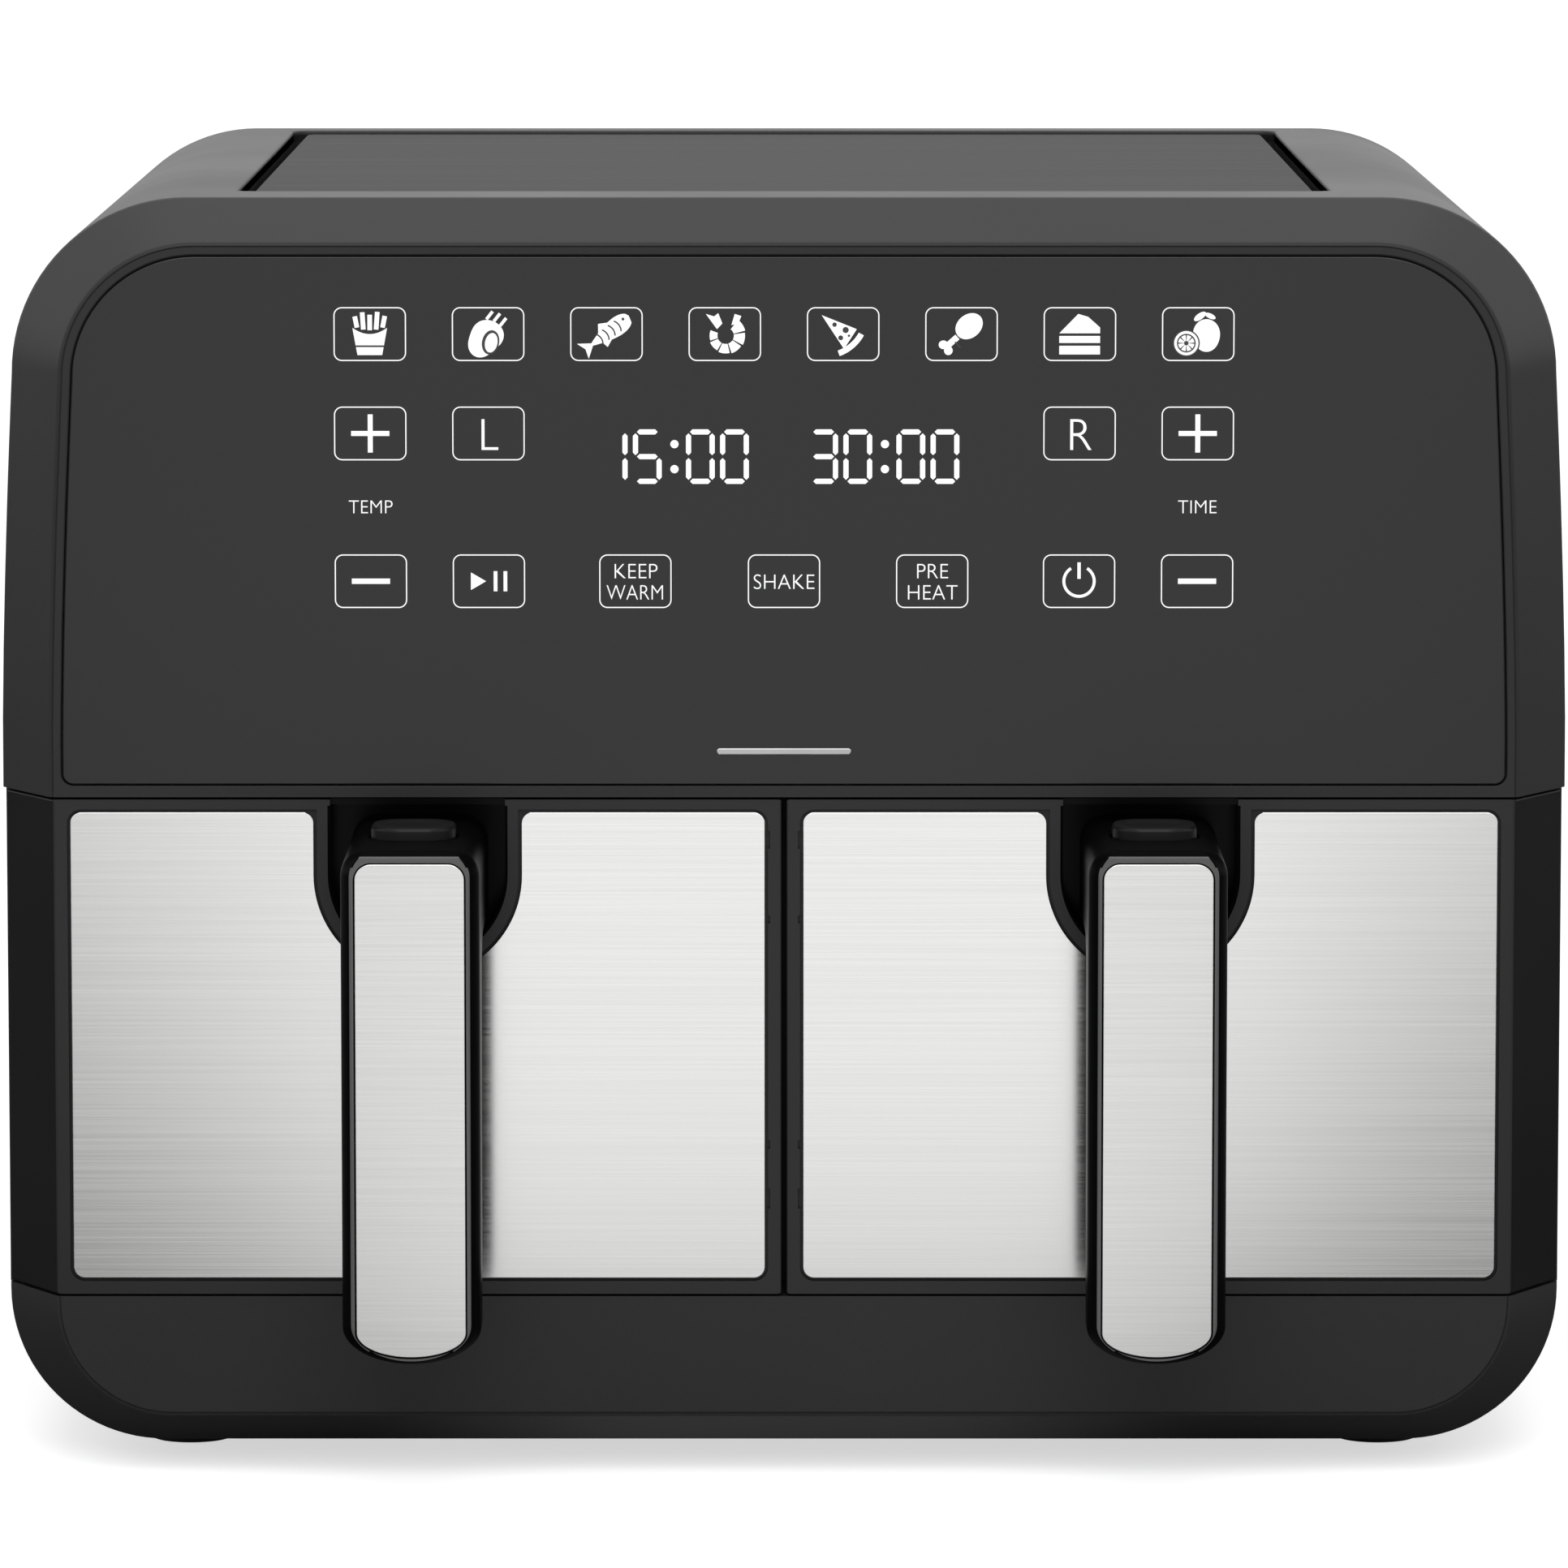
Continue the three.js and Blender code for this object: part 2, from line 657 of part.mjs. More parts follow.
function rearCoverPlate() {
  const { x, low, high } = rearCover;
  const gap = PANEL_GAP;
  const front = BODY_DEPTH - REAR_COVER_THICKNESS;
  const plate = prismY(
    rounded(-x + gap, x - gap, low + gap, high - gap, REAR_COVER_RADIUS - gap),
    front,
    BODY_DEPTH,
  );
  const slots = [];
  for (const side of [-1, 1]) {
    for (let i = 0; i < VENT_SLOTS; i++) {
      const z = exhaustCentre() + (i - (VENT_SLOTS - 1) / 2) * VENT_PITCH;
      const reach = EXHAUST_WIDTH / 2;
      const centre = side * bayCentre;
      const halfSlot = VENT_SLOT_HEIGHT / 2;
      slots.push(
        block(centre - reach, centre + reach, front - 1, BODY_DEPTH + 1, z - halfSlot, z + halfSlot),
      );
    }
  }
  const holes = screwPlaces().map(([sx, sz]) =>
    rodY(SCREW_SHANK_RADIUS + TOUCH_GAP, sx, sz, front - 1, BODY_DEPTH + 1),
  );
  const gland = glandPlace();
  const holeRadius = GLAND_NECK_RADIUS + TOUCH_GAP;
  const glandHole = rodY(holeRadius, gland.x, gland.z, front - 1, BODY_DEPTH + 1, 24);
  return plate.subtract(joined(...slots, ...holes, glandHole));
}

function exhaustCentre() {
  return bayTop + CHAMBER_DOME / 2;
}

function glandPlace() {
  return { x: rearCover.x - GLAND_SIDE, z: rearCover.low + GLAND_UP };
}

// The cord's gland: a flange on the cover, a neck through it and a bore for the cord.
function cordGland() {
  const { x, z } = glandPlace();
  const flange = BODY_DEPTH + TOUCH_GAP;
  const tail = BODY_DEPTH - REAR_COVER_THICKNESS - GLAND_TAIL;
  const body = joined(
    rodY(GLAND_FLANGE_RADIUS, x, z, flange, flange + GLAND_FLANGE_THICKNESS, 24),
    rodY(GLAND_BOOT_RADIUS, x, z, flange, glandEnd, 24),
    rodY(GLAND_NECK_RADIUS, x, z, tail, flange + GLAND_FLANGE_THICKNESS / 2, 24),
  );
  return body.subtract(rodY(GLAND_BORE_RADIUS, x, z, tail - 1, glandEnd + 1, 24));
}

function coverScrew([x, z]) {
  const seat = BODY_DEPTH + TOUCH_GAP;
  const top = seat + SCREW_HEAD_HEIGHT;
  const head = rodY(SCREW_HEAD_RADIUS, x, z, seat, top);
  const shank = rodY(SCREW_SHANK_RADIUS, x, z, BODY_DEPTH - SCREW_LENGTH, seat + 0.5, 12);
  const arm = DRIVE_WIDTH / 2;
  const floor = top - DRIVE_DEPTH;
  const cross = joined(
    block(x - DRIVE_REACH, x + DRIVE_REACH, floor, top + 1, z - arm, z + arm),
    block(x - arm, x + arm, floor, top + 1, z - DRIVE_REACH, z + DRIVE_REACH),
  );
  return joined(head, shank).subtract(cross);
}

// The plate stands on four pegs and leaves the air gap open round three of its sides.
function topPlate() {
  const x = RECESS_HALF_WIDTH - TOP_PLATE_GAP;
  const front = RECESS_FRONT + TOP_PLATE_FRONT_GAP;
  const back = BODY_DEPTH - RECESS_BACK_MARGIN - TOP_PLATE_GAP;
  const high = HEIGHT - TOP_PLATE_DROP;
  const low = high - TOP_PLATE_THICKNESS;
  const plate = prismZ(rounded(-x, x, front, back, RECESS_RADIUS - 1), low, high);
  const pegs = [-1, 1].flatMap((side) =>
    [front + PEG_INSET, back - PEG_INSET].map((y) =>
      rod(PEG_RADIUS, side * (x - PEG_INSET), y, HEIGHT - RECESS_DEPTH + TOUCH_GAP, low + 1, 12),
    ),
  );
  return joined(plate, ...pegs);
}

function foot(x, y) {
  return turned(
    [
      [0, 0],
      [FOOT_RADIUS - FOOT_CHAMFER, 0],
      [FOOT_RADIUS, FOOT_CHAMFER],
      [FOOT_RADIUS - FOOT_DRAFT, FOOT_HEIGHT - TOUCH_GAP],
      [0, FOOT_HEIGHT - TOUCH_GAP],
    ],
    x,
    y,
    16,
  );
}

// ---------------------------------------------------------------- control panel and boards

function controlPanel() {
  return prismY(panelOutline(), faceY, faceY + PANEL_THICKNESS);
}

// The touch board carries the displays and sits just behind the panel's window.
const touchBoard = {
  x: panelWindowSize.x - BOARD_LEDGE,
  low: panelWindowSize.low + BOARD_LEDGE,
  high: panelWindowSize.high - BOARD_LEDGE,
  y: faceY + PANEL_THICKNESS + TOUCH_GAP + WALL + TOUCH_GAP,
};

function displayBoard() {
  const { x, low, high, y } = touchBoard;
  const board = block(-x, x, y, y + BOARD_THICKNESS, low, high);
  const back = y + BOARD_THICKNESS;
  const reach = CONNECTOR_WIDTH / 2;
  const foot = low + CONNECTOR_HEIGHT;
  const connector = block(-reach, reach, y + 1, back + CONNECTOR_DEPTH, low + 1, foot + 1);
  return board.add(connector);
}

function ledDisplay(side) {
  const x = (side * DISPLAY_SPACING) / 2;
  const high = panelWindowSize.high - DISPLAY_DROP;
  return block(
    x - DISPLAY_WIDTH / 2,
    x + DISPLAY_WIDTH / 2,
    faceY + PANEL_THICKNESS + TOUCH_GAP,
    touchBoard.y - TOUCH_GAP,
    high - DISPLAY_HEIGHT,
    high,
  );
}

// The power board lies between the two motors.
function powerBoard() {
  const x = POWER_BOARD_WIDTH / 2;
  const y = POWER_BOARD_LENGTH / 2;
  const z = chamberRoof + POWER_BOARD_STANDOFF;
  const top = z + BOARD_THICKNESS;
  const board = block(-x, x, chamberMiddle - y, chamberMiddle + y, z, top);
  const parts = BOARD_PARTS.map((p) => {
    const along = chamberMiddle + p.y;
    const dx = p.width / 2;
    const dy = p.length / 2;
    return block(p.x - dx, p.x + dx, along - dy, along + dy, top - 1, top + p.height);
  });
  return joined(board, ...parts);
}

// ---------------------------------------------------------------- drawer, right-hand pattern

// A pocket or plate cut-out: straight sides and a half-round lower end, open to the given top.
function pocketOutline(halfWidth, top) {
  const centre = frontHigh - POCKET_STRAIGHT;
  return [
    new THREE.Vector2(faceCentre + halfWidth, top),
    new THREE.Vector2(faceCentre - halfWidth, top),
    ...arc(faceCentre, centre, halfWidth, halfWidth, 2, 4, 14),
  ];
}

function plateOutline(grow) {
  return rounded(
    FRONT_GAP + PLATE_SIDE_MARGIN - grow,
    faceOuter - PLATE_SIDE_MARGIN + grow,
    frontLow + PLATE_BOTTOM_MARGIN - grow,
    frontHigh - PLATE_TOP_MARGIN + grow,
    PLATE_RADIUS + grow,
  );
}

function drawerFront() {
  const backY = -FRONT_GAP;
  const side = (y) => faceOuter + (NOSE_SIDE * (y - faceY)) / NOSE_DEPTH;
  const corner = (x, y) => new THREE.Vector2(x, y);
  const outside = prismZ(
    [
      corner(FRONT_GAP, faceY),
      corner(faceOuter, faceY),
      corner(side(backY), backY),
      corner(FRONT_GAP, backY),
    ],
    frontLow,
    frontHigh,
  );
  const hollow = prismZ(
    [
      corner(FRONT_GAP + WALL, faceY + FRONT_WALL),
      corner(side(faceY + FRONT_WALL) - WALL, faceY + FRONT_WALL),
      corner(side(backY + 1) - WALL, backY + 1),
      corner(FRONT_GAP + WALL, backY + 1),
    ],
    frontLow + WALL,
    frontHigh - WALL,
  );
  const pocketBack = faceY + POCKET_DEPTH;
  const lining = prismY(
    pocketOutline(pocketHalf + WALL, frontHigh),
    faceY,
    pocketBack + WALL,
  );
  const pocket = prismY(
    pocketOutline(pocketHalf, frontHigh - POCKET_ROOF),
    faceY - 1,
    pocketBack,
  );
  const mouth = prismY(
    pocketOutline(pocketHalf, frontHigh + 1),
    faceY - 1,
    faceY + POCKET_ROOF_SETBACK,
  );
  const plateSeat = prismY(plateOutline(PLATE_GAP), faceY - 1, faceY + PLATE_THICKNESS + TOUCH_GAP);
  const ring = prismY(
    pocketOutline(pocketHalf + POCKET_RING - PLATE_GAP, frontHigh),
    faceY,
    faceY + FRONT_WALL,
  );
  const mount = block(
    faceCentre - PAN_MOUNT_WIDTH / 2,
    faceCentre + PAN_MOUNT_WIDTH / 2,
    faceY + FRONT_WALL - 1,
    PAN_FRONT - TOUCH_GAP,
    bayLow + PAN_MOUNT_RISE,
    bayLow + PAN_MOUNT_RISE + PAN_MOUNT_HEIGHT,
  );
  return outside
    .subtract(hollow)
    .subtract(plateSeat)
    .add(joined(lining, ring, mount))
    .subtract(pocket)
    .subtract(mouth);
}

// The plate's notch round the pocket, with its two upper corners rounded over.
function plateNotch() {
  const reach = pocketHalf + POCKET_RING;
  const top = frontHigh - PLATE_TOP_MARGIN;
  const r = PLATE_RADIUS;
  return [
    new THREE.Vector2(faceCentre + reach + r, top + 1),
    new THREE.Vector2(faceCentre - reach - r, top + 1),
    ...arc(faceCentre - reach - r, top - r, r, r, 1, 0, 4),
    ...arc(faceCentre, frontHigh - POCKET_STRAIGHT, reach, reach, 2, 4, 16),
    ...arc(faceCentre + reach + r, top - r, r, r, 2, 1, 4),
  ];
}

function steelPlate() {
  const y1 = faceY + PLATE_THICKNESS;
  return prismY(plateOutline(0), faceY, y1).subtract(prismY(plateNotch(), faceY - 1, y1 + 1));
}

// A long upright outline with rounded top corners and a shallow arched lower end.
function barOutline(halfWidth, low, high, corner, rise) {
  return [
    ...arc(faceCentre, low + rise, halfWidth, rise, 2, 4, 12),
    ...arc(faceCentre + halfWidth - corner, high - corner, corner, corner, 0, 1, 4),
    ...arc(faceCentre - halfWidth + corner, high - corner, corner, corner, 1, 2, 4),
  ];
}

const handleTop = frontHigh - HANDLE_TOP_DROP;
const handleLow = handleTop - HANDLE_LENGTH;
const buttonY = handleFaceY + BUTTON_SETBACK;
const wellFloor = handleTop - BUTTON_WELL;

// The handle in side view: a root out of the pocket, then a bar that thins towards its toe.
function handleSideOutline() {
  const rootBack = faceY + POCKET_DEPTH - TOUCH_GAP;
  const rootLow = handleTop - HANDLE_ROOT_HEIGHT;
  const barBack = handleFaceY + HANDLE_BAR_DEPTH;
  return [
    new THREE.Vector2(handleFaceY, handleLow),
    new THREE.Vector2(handleFaceY + HANDLE_TOE_DEPTH, handleLow),
    ...arc(barBack + HANDLE_FILLET, rootLow - HANDLE_FILLET, HANDLE_FILLET, HANDLE_FILLET, 2, 1, 5),
    new THREE.Vector2(rootBack, rootLow),
    new THREE.Vector2(rootBack, handleTop),
    ...arc(handleFaceY + HANDLE_NOSE, handleTop - HANDLE_NOSE, HANDLE_NOSE, HANDLE_NOSE, 1, 2, 3),
  ];
}

function handle() {
  const halfWidth = HANDLE_WIDTH / 2;
  const side = prismX(handleSideOutline(), faceCentre - halfWidth, faceCentre + halfWidth);
  const back = faceY + POCKET_DEPTH;
  const bevelled = loft([
    {
      outline: barOutline(
        halfWidth - HANDLE_BEVEL,
        handleLow + HANDLE_BEVEL * 0.5,
        handleTop,
        HANDLE_CORNER,
        HANDLE_END_RISE,
      ),
      y: handleFaceY - 0.01,
    },
    {
      outline: barOutline(halfWidth, handleLow, handleTop, HANDLE_CORNER, HANDLE_END_RISE),
      y: handleFaceY + HANDLE_BEVEL_DEPTH,
    },
    {
      outline: barOutline(halfWidth, handleLow, handleTop, HANDLE_CORNER, HANDLE_END_RISE),
      y: back,
    },
  ]);
  const well = prismZ(buttonOutline(BUTTON_GAP), wellFloor, handleTop + 1);
  const seat = prismY(
    inlayOutline(TOUCH_GAP),
    handleFaceY - 1,
    handleFaceY + INLAY_THICKNESS + TOUCH_GAP,
  );
  return side.intersect(bevelled).subtract(well).subtract(seat);
}

function inlayOutline(grow) {
  return barOutline(
    HANDLE_WIDTH / 2 - INLAY_SIDE_MARGIN + grow,
    handleLow + INLAY_BOTTOM_MARGIN - grow,
    handleTop - INLAY_TOP_MARGIN + grow,
    INLAY_CORNER + grow,
    INLAY_END_RISE + grow,
  );
}

function handleInlay() {
  return prismY(inlayOutline(0), handleFaceY, handleFaceY + INLAY_THICKNESS);
}

function buttonOutline(grow) {
  const x = BUTTON_WIDTH / 2 + grow;
  const y = BUTTON_DEPTH / 2 + grow;
  return rounded(faceCentre - x, faceCentre + x, buttonY - y, buttonY + y, BUTTON_CORNER + grow, 5);
}

const buttonTop = handleTop + BUTTON_PROUD;
const buttonLow = buttonTop - BUTTON_HEIGHT;

function releaseButton() {
  return prismZ(buttonOutline(0), buttonLow, buttonTop);
}

// A helix for a coil of wire between two heights.
class Coil extends THREE.Curve {
  constructor(x, y, z0, z1, radius, turns) {
    super();
    Object.assign(this, { x, y, z0, z1, radius, turns });
  }
  getPoint(t, target = new THREE.Vector3()) {
    const angle = 2 * Math.PI * this.turns * t;
    return target.set(
      this.x + this.radius * Math.cos(angle),
      this.y + this.radius * Math.sin(angle),
      THREE.MathUtils.lerp(this.z0, this.z1, t),
    );
  }
}

function wire(path, radius, steps, sides = 6) {
  const section = new THREE.Shape(
    Array.from({ length: sides }, (_, i) => {
      const angle = (2 * Math.PI * i) / sides;
      return new THREE.Vector2(radius * Math.cos(angle), radius * Math.sin(angle));
    }),
  );
  return solid(
    new THREE.ExtrudeGeometry(section, { steps, extrudePath: path, bevelEnabled: false }),
  );
}

function buttonSpring() {
  const low = wellFloor + TOUCH_GAP + SPRING_WIRE_RADIUS;
  const high = buttonLow - TOUCH_GAP - SPRING_WIRE_RADIUS;
  const path = new Coil(faceCentre, buttonY, low, high, SPRING_RADIUS, SPRING_TURNS);
  return wire(path, SPRING_WIRE_RADIUS, SPRING_TURNS * 9, 5);
}

// ---------------------------------------------------------------- pan and crisper plate

const pan = {
  x0: bayInner + PAN_SIDE_CLEARANCE + PAN_RIM_WIDTH,
  x1: bayOuter - PAN_SIDE_CLEARANCE - PAN_RIM_WIDTH,
  y0: PAN_FRONT,
  y1: chamberBack - PAN_REAR_CLEARANCE,
  low: bayLow + PAN_FLOOR_CLEARANCE,
  high: bayHigh - PAN_RIM_CLEARANCE,
};

function panOutline(grow) {
  return rounded(pan.x0 - grow, pan.x1 + grow, pan.y0 - grow, pan.y1 + grow, PAN_RADIUS + grow, 5);
}

// The rim stands out at the two sides and the back, and is trimmed off behind the drawer front.
function panTub() {
  const body = prismZ(panOutline(0), pan.low, pan.high);
  const rim = prismZ(panOutline(PAN_RIM_WIDTH), pan.high - PAN_RIM_THICKNESS, pan.high).subtract(
    block(bayInner, bayOuter, pan.y0 - PAN_RADIUS, pan.y0, pan.low, pan.high + 1),
  );
  const inside = prismZ(panOutline(-PAN_WALL), pan.low + PAN_WALL, pan.high + 1);
  return joined(body, rim).subtract(inside);
}

const crisper = {
  x0: pan.x0 + PAN_WALL + CRISPER_CLEARANCE,
  x1: pan.x1 - PAN_WALL - CRISPER_CLEARANCE,
  y0: pan.y0 + PAN_WALL + CRISPER_CLEARANCE,
  y1: pan.y1 - PAN_WALL - CRISPER_CLEARANCE,
  low: pan.low + PAN_WALL + CRISPER_RAISE,
};

function crisperPlate() {
  const { x0, x1, y0, y1, low } = crisper;
  const plate = prismZ(
    rounded(x0, x1, y0, y1, PAN_RADIUS - PAN_WALL - CRISPER_CLEARANCE, 5),
    low,
    low + CRISPER_THICKNESS,
  );
  const pitchX = (x1 - x0 - 2 * CRISPER_BORDER) / CRISPER_COLUMNS;
  const pitchY = (y1 - y0 - 2 * CRISPER_BORDER) / CRISPER_ROWS;
  const slots = [];
  for (let i = 0; i < CRISPER_COLUMNS; i++) {
    for (let j = 0; j < CRISPER_ROWS; j++) {
      const x = x0 + CRISPER_BORDER + pitchX * (i + 0.5);
      const y = y0 + CRISPER_BORDER + pitchY * (j + 0.5);
      const dx = Math.min(CRISPER_SLOT_LENGTH, pitchX - CRISPER_WEB) / 2;
      const dy = Math.min(CRISPER_SLOT_WIDTH, pitchY - CRISPER_WEB) / 2;
      slots.push(block(x - dx, x + dx, y - dy, y + dy, low - 1, low + CRISPER_THICKNESS + 1));
    }
  }
  return plate.subtract(joined(...slots));
}

// Silicone bumpers under the plate's edges keep it off the pan's floor.
const bumperPlaces = [
  ["front_left", 0, 0],
  ["front_right", 1, 0],
  ["back_left", 0, 1],
  ["back_right", 1, 1],
];

function bumper(acrossShare, alongShare) {
  const inset = PAN_RADIUS;
  const x = THREE.MathUtils.lerp(crisper.x0 + inset, crisper.x1 - inset, acrossShare);
  const y = THREE.MathUtils.lerp(
    crisper.y0 + BUMPER_DEPTH,
    crisper.y1 - BUMPER_DEPTH,
    alongShare,
  );
  const dx = BUMPER_WIDTH / 2;
  const dy = BUMPER_DEPTH / 2;
  return prismZ(
    rounded(x - dx, x + dx, y - dy, y + dy, BUMPER_RADIUS, 2),
    pan.low + PAN_WALL + TOUCH_GAP,
    crisper.low - TOUCH_GAP,
  );
}

// ---------------------------------------------------------------- chamber, heater, fans and motor

function chamber() {
  const x0 = bayInner - CHAMBER_LIP;
  const x1 = bayOuter + CHAMBER_LIP;
  const low = bayLow - CHAMBER_LIP;
  const inside = CHAMBER_WALL;
  const body = block(x0, x1, chamberFront, chamberBack, low, chamberRoof);
  const hollow = block(
    x0 + inside,
    x1 - inside,
    chamberFront + inside,
    chamberBack - inside,
    low + inside,
    chamberRoof - inside,
  );
  const mouth = block(
    x0 + inside,
    x1 - inside,
    chamberFront - 1,
    chamberFront + inside + 1,
    low + inside,
    bayHigh,
  );
  const shaftHole = rod(
    SHAFT_RADIUS + SHAFT_HOLE_CLEARANCE,
    bayCentre,
    chamberMiddle,
    chamberRoof - inside - 1,
    chamberRoof + 1,
    16,
  );
  const exhaust = block(
    bayCentre - EXHAUST_WIDTH / 2 + DUCT_WALL,
    bayCentre + EXHAUST_WIDTH / 2 - DUCT_WALL,
    chamberBack - inside - 1,
    chamberBack + 1,
    exhaustCentre() - EXHAUST_HEIGHT / 2 + DUCT_WALL,
    exhaustCentre() + EXHAUST_HEIGHT / 2 - DUCT_WALL,
  );
  const terminalHoles = terminals(
    HEATER_TUBE_RADIUS + TERMINAL_CLEARANCE,
    chamberRoof - inside - 1,
    chamberRoof + 1,
  );
  return body.subtract(joined(hollow, mouth, shaftHole, exhaust, terminalHoles));
}

function exhaustDuct() {
  const y0 = chamberBack + TOUCH_GAP;
  const y1 = BODY_DEPTH - REAR_COVER_THICKNESS - TOUCH_GAP;
  const x = EXHAUST_WIDTH / 2;
  const z = EXHAUST_HEIGHT / 2;
  const centre = exhaustCentre();
  return block(bayCentre - x, bayCentre + x, y0, y1, centre - z, centre + z).subtract(
    block(
      bayCentre - x + DUCT_WALL,
      bayCentre + x - DUCT_WALL,
      y0 - 1,
      y1 + 1,
      centre - z + DUCT_WALL,
      centre + z - DUCT_WALL,
    ),
  );
}

// A ring with crossing rods keeps food off the heater.
function heaterGuard() {
  const z = bayTop + GUARD_RISE;
  const ring = rod(GUARD_RADIUS, bayCentre, chamberMiddle, z, z + GUARD_ROD, 24).subtract(
    rod(GUARD_RADIUS - GUARD_ROD * 2, bayCentre, chamberMiddle, z - 1, z + GUARD_ROD + 1, 24),
  );
  const rods = [];
  const reach = GUARD_RADIUS - GUARD_ROD;
  for (const share of [-0.6, -0.2, 0.2, 0.6]) {
    const x = bayCentre + reach * share;
    const along = reach * Math.sqrt(1 - share * share);
    const thick = GUARD_ROD / 2;
    const [front, back] = [chamberMiddle - along, chamberMiddle + along];
    rods.push(block(x - thick, x + thick, front, back, z, z + GUARD_ROD));
  }
  const arm = (bayOuter - bayInner) / 2 + CHAMBER_LIP - CHAMBER_WALL - TOUCH_GAP;
  const [front, back] = [chamberMiddle - GUARD_ROD, chamberMiddle + GUARD_ROD];
  const bridge = block(bayCentre - arm, bayCentre + arm, front, back, z, z + GUARD_ROD);
  return joined(ring, bridge, ...rods);
}

const heaterZ = bayTop + HEATER_RISE;
const heaterLoop = new Coil(bayCentre, chamberMiddle, heaterZ, heaterZ, HEATER_RADIUS, HEATER_TURN);

// A column at each end of the heater's loop, for its terminals and for the holes they pass through.
function terminals(radius, z0, z1) {
  const columns = [0, 1].map((end) => {
    const { x, y } = heaterLoop.getPoint(end);
    return rod(radius, x, y, z0, z1, 12);
  });
  return joined(...columns);
}

function heater() {
  return joined(
    wire(heaterLoop, HEATER_TUBE_RADIUS, 36),
    terminals(HEATER_TUBE_RADIUS, heaterZ - HEATER_TUBE_RADIUS, chamberRoof + HEATER_TERMINAL),
  );
}

// A fan: a hub bored for the shaft, a disc and upright blades.
function fan(radius, low, height, discAtTop) {
  const x = bayCentre;
  const y = chamberMiddle;
  const discLow = discAtTop ? low + height - FAN_DISC : low;
  const blades = Array.from({ length: FAN_BLADES }, (_, i) => {
    const length = radius - FAN_HUB_RADIUS + FAN_BLADE_THICKNESS * 2;
    const blade = new THREE.BoxGeometry(length, FAN_BLADE_THICKNESS, height - 0.02);
    blade.rotateZ(FAN_BLADE_SKEW).translate((radius + FAN_HUB_RADIUS) / 2, 0, 0);
    blade.rotateZ((2 * Math.PI * i) / FAN_BLADES);
    return solid(blade.translate(x, y, low + height / 2));
  });
  const round = rod(radius, x, y, low - 1, low + height + 1, 32);
  return joined(
    rod(FAN_HUB_RADIUS, x, y, low, low + height, 16),
    rod(radius, x, y, discLow, discLow + FAN_DISC, 32),
    ...blades,
  )
    .intersect(round)
    .subtract(rod(SHAFT_RADIUS + TOUCH_GAP, x, y, low - 1, low + height + 1, 12));
}

const convectionFanLow = chamberRoof - CHAMBER_WALL - FAN_ROOF_CLEARANCE - CONVECTION_FAN_HEIGHT;
const motorLow = chamberRoof + TOUCH_GAP;
const motorHigh = motorLow + MOTOR_HEIGHT;
const coolingFanLow = motorHigh + FAN_MOTOR_CLEARANCE;

function convectionFan() {
  return fan(CONVECTION_FAN_RADIUS, convectionFanLow, CONVECTION_FAN_HEIGHT, true);
}

function coolingFan() {
  return fan(COOLING_FAN_RADIUS, coolingFanLow, COOLING_FAN_HEIGHT, false);
}

function motorShaft() {
  const low = convectionFanLow - SHAFT_END;
  const high = coolingFanLow + COOLING_FAN_HEIGHT + SHAFT_END;
  return rod(SHAFT_RADIUS, bayCentre, chamberMiddle, low, high, 12);
}

function motor() {
  const bore = SHAFT_RADIUS + SHAFT_CLEARANCE;
  return turned(
    [
      [bore, motorLow],
      [MOTOR_FLANGE_RADIUS, motorLow],
      [MOTOR_FLANGE_RADIUS, motorLow + MOTOR_FLANGE_THICKNESS],
      [MOTOR_RADIUS, motorLow + MOTOR_FLANGE_THICKNESS],
      [MOTOR_RADIUS, motorHigh - MOTOR_SHOULDER_HEIGHT],
      [MOTOR_RADIUS - MOTOR_SHOULDER, motorHigh],
      [bore, motorHigh],
      [bore, motorLow],
    ],
    bayCentre,
    chamberMiddle,
    24,
  );
}

// ---------------------------------------------------------------- assembly

// A solid as a named three.js mesh.
function piece(name, made, finish) {
  const { numProp, vertProperties, triVerts } = made.getMesh();
  const count = vertProperties.length / numProp;
  const position = new Float32Array(count * 3);
  for (let i = 0; i < count; i++) {
    position.set(vertProperties.subarray(i * numProp, i * numProp + 3), i * 3);
  }
  const geometry = new THREE.BufferGeometry();
  geometry.setAttribute("position", new THREE.BufferAttribute(position, 3));
  geometry.setIndex(new THREE.BufferAttribute(triVerts, 1));
  geometry.computeVertexNormals();
  const mesh = new THREE.Mesh(geometry, finishes[finish]);
  mesh.name = name;
  return mesh;
}

// The drawer, chamber and fans of one side, in the right-hand pattern.
function sidePieces(side) {
  return [
    piece(`${side}_drawer_front`, drawerFront(), "drawer"),
    piece(`${side}_steel_plate`, steelPlate(), "steel"),
    piece(`${side}_handle`, handle(), "gloss"),
    piece(`${side}_handle_inlay`, handleInlay(), "steel"),
    piece(`${side}_release_button`, releaseButton(), "gloss"),
    piece(`${side}_button_spring`, buttonSpring(), "fan"),
    piece(`${side}_pan`, panTub(), "nonstick"),
    piece(`${side}_crisper_plate`, crisperPlate(), "nonstick"),
    ...bumperPlaces.map(([place, across, along]) =>
      piece(`${side}_bumper_${place}`, bumper(across, along), "silicone"),
    ),
    piece(`${side}_chamber`, chamber(), "chamber"),
    piece(`${side}_exhaust_duct`, exhaustDuct(), "chamber"),
    piece(`${side}_heater_guard`, heaterGuard(), "heater"),
    piece(`${side}_heater`, heater(), "heater"),
    piece(`${side}_convection_fan`, convectionFan(), "fan"),
    piece(`${side}_motor_shaft`, motorShaft(), "motor"),
    piece(`${side}_motor`, motor(), "motor"),
    piece(`${side}_cooling_fan`, coolingFan(), "fan"),
  ];
}

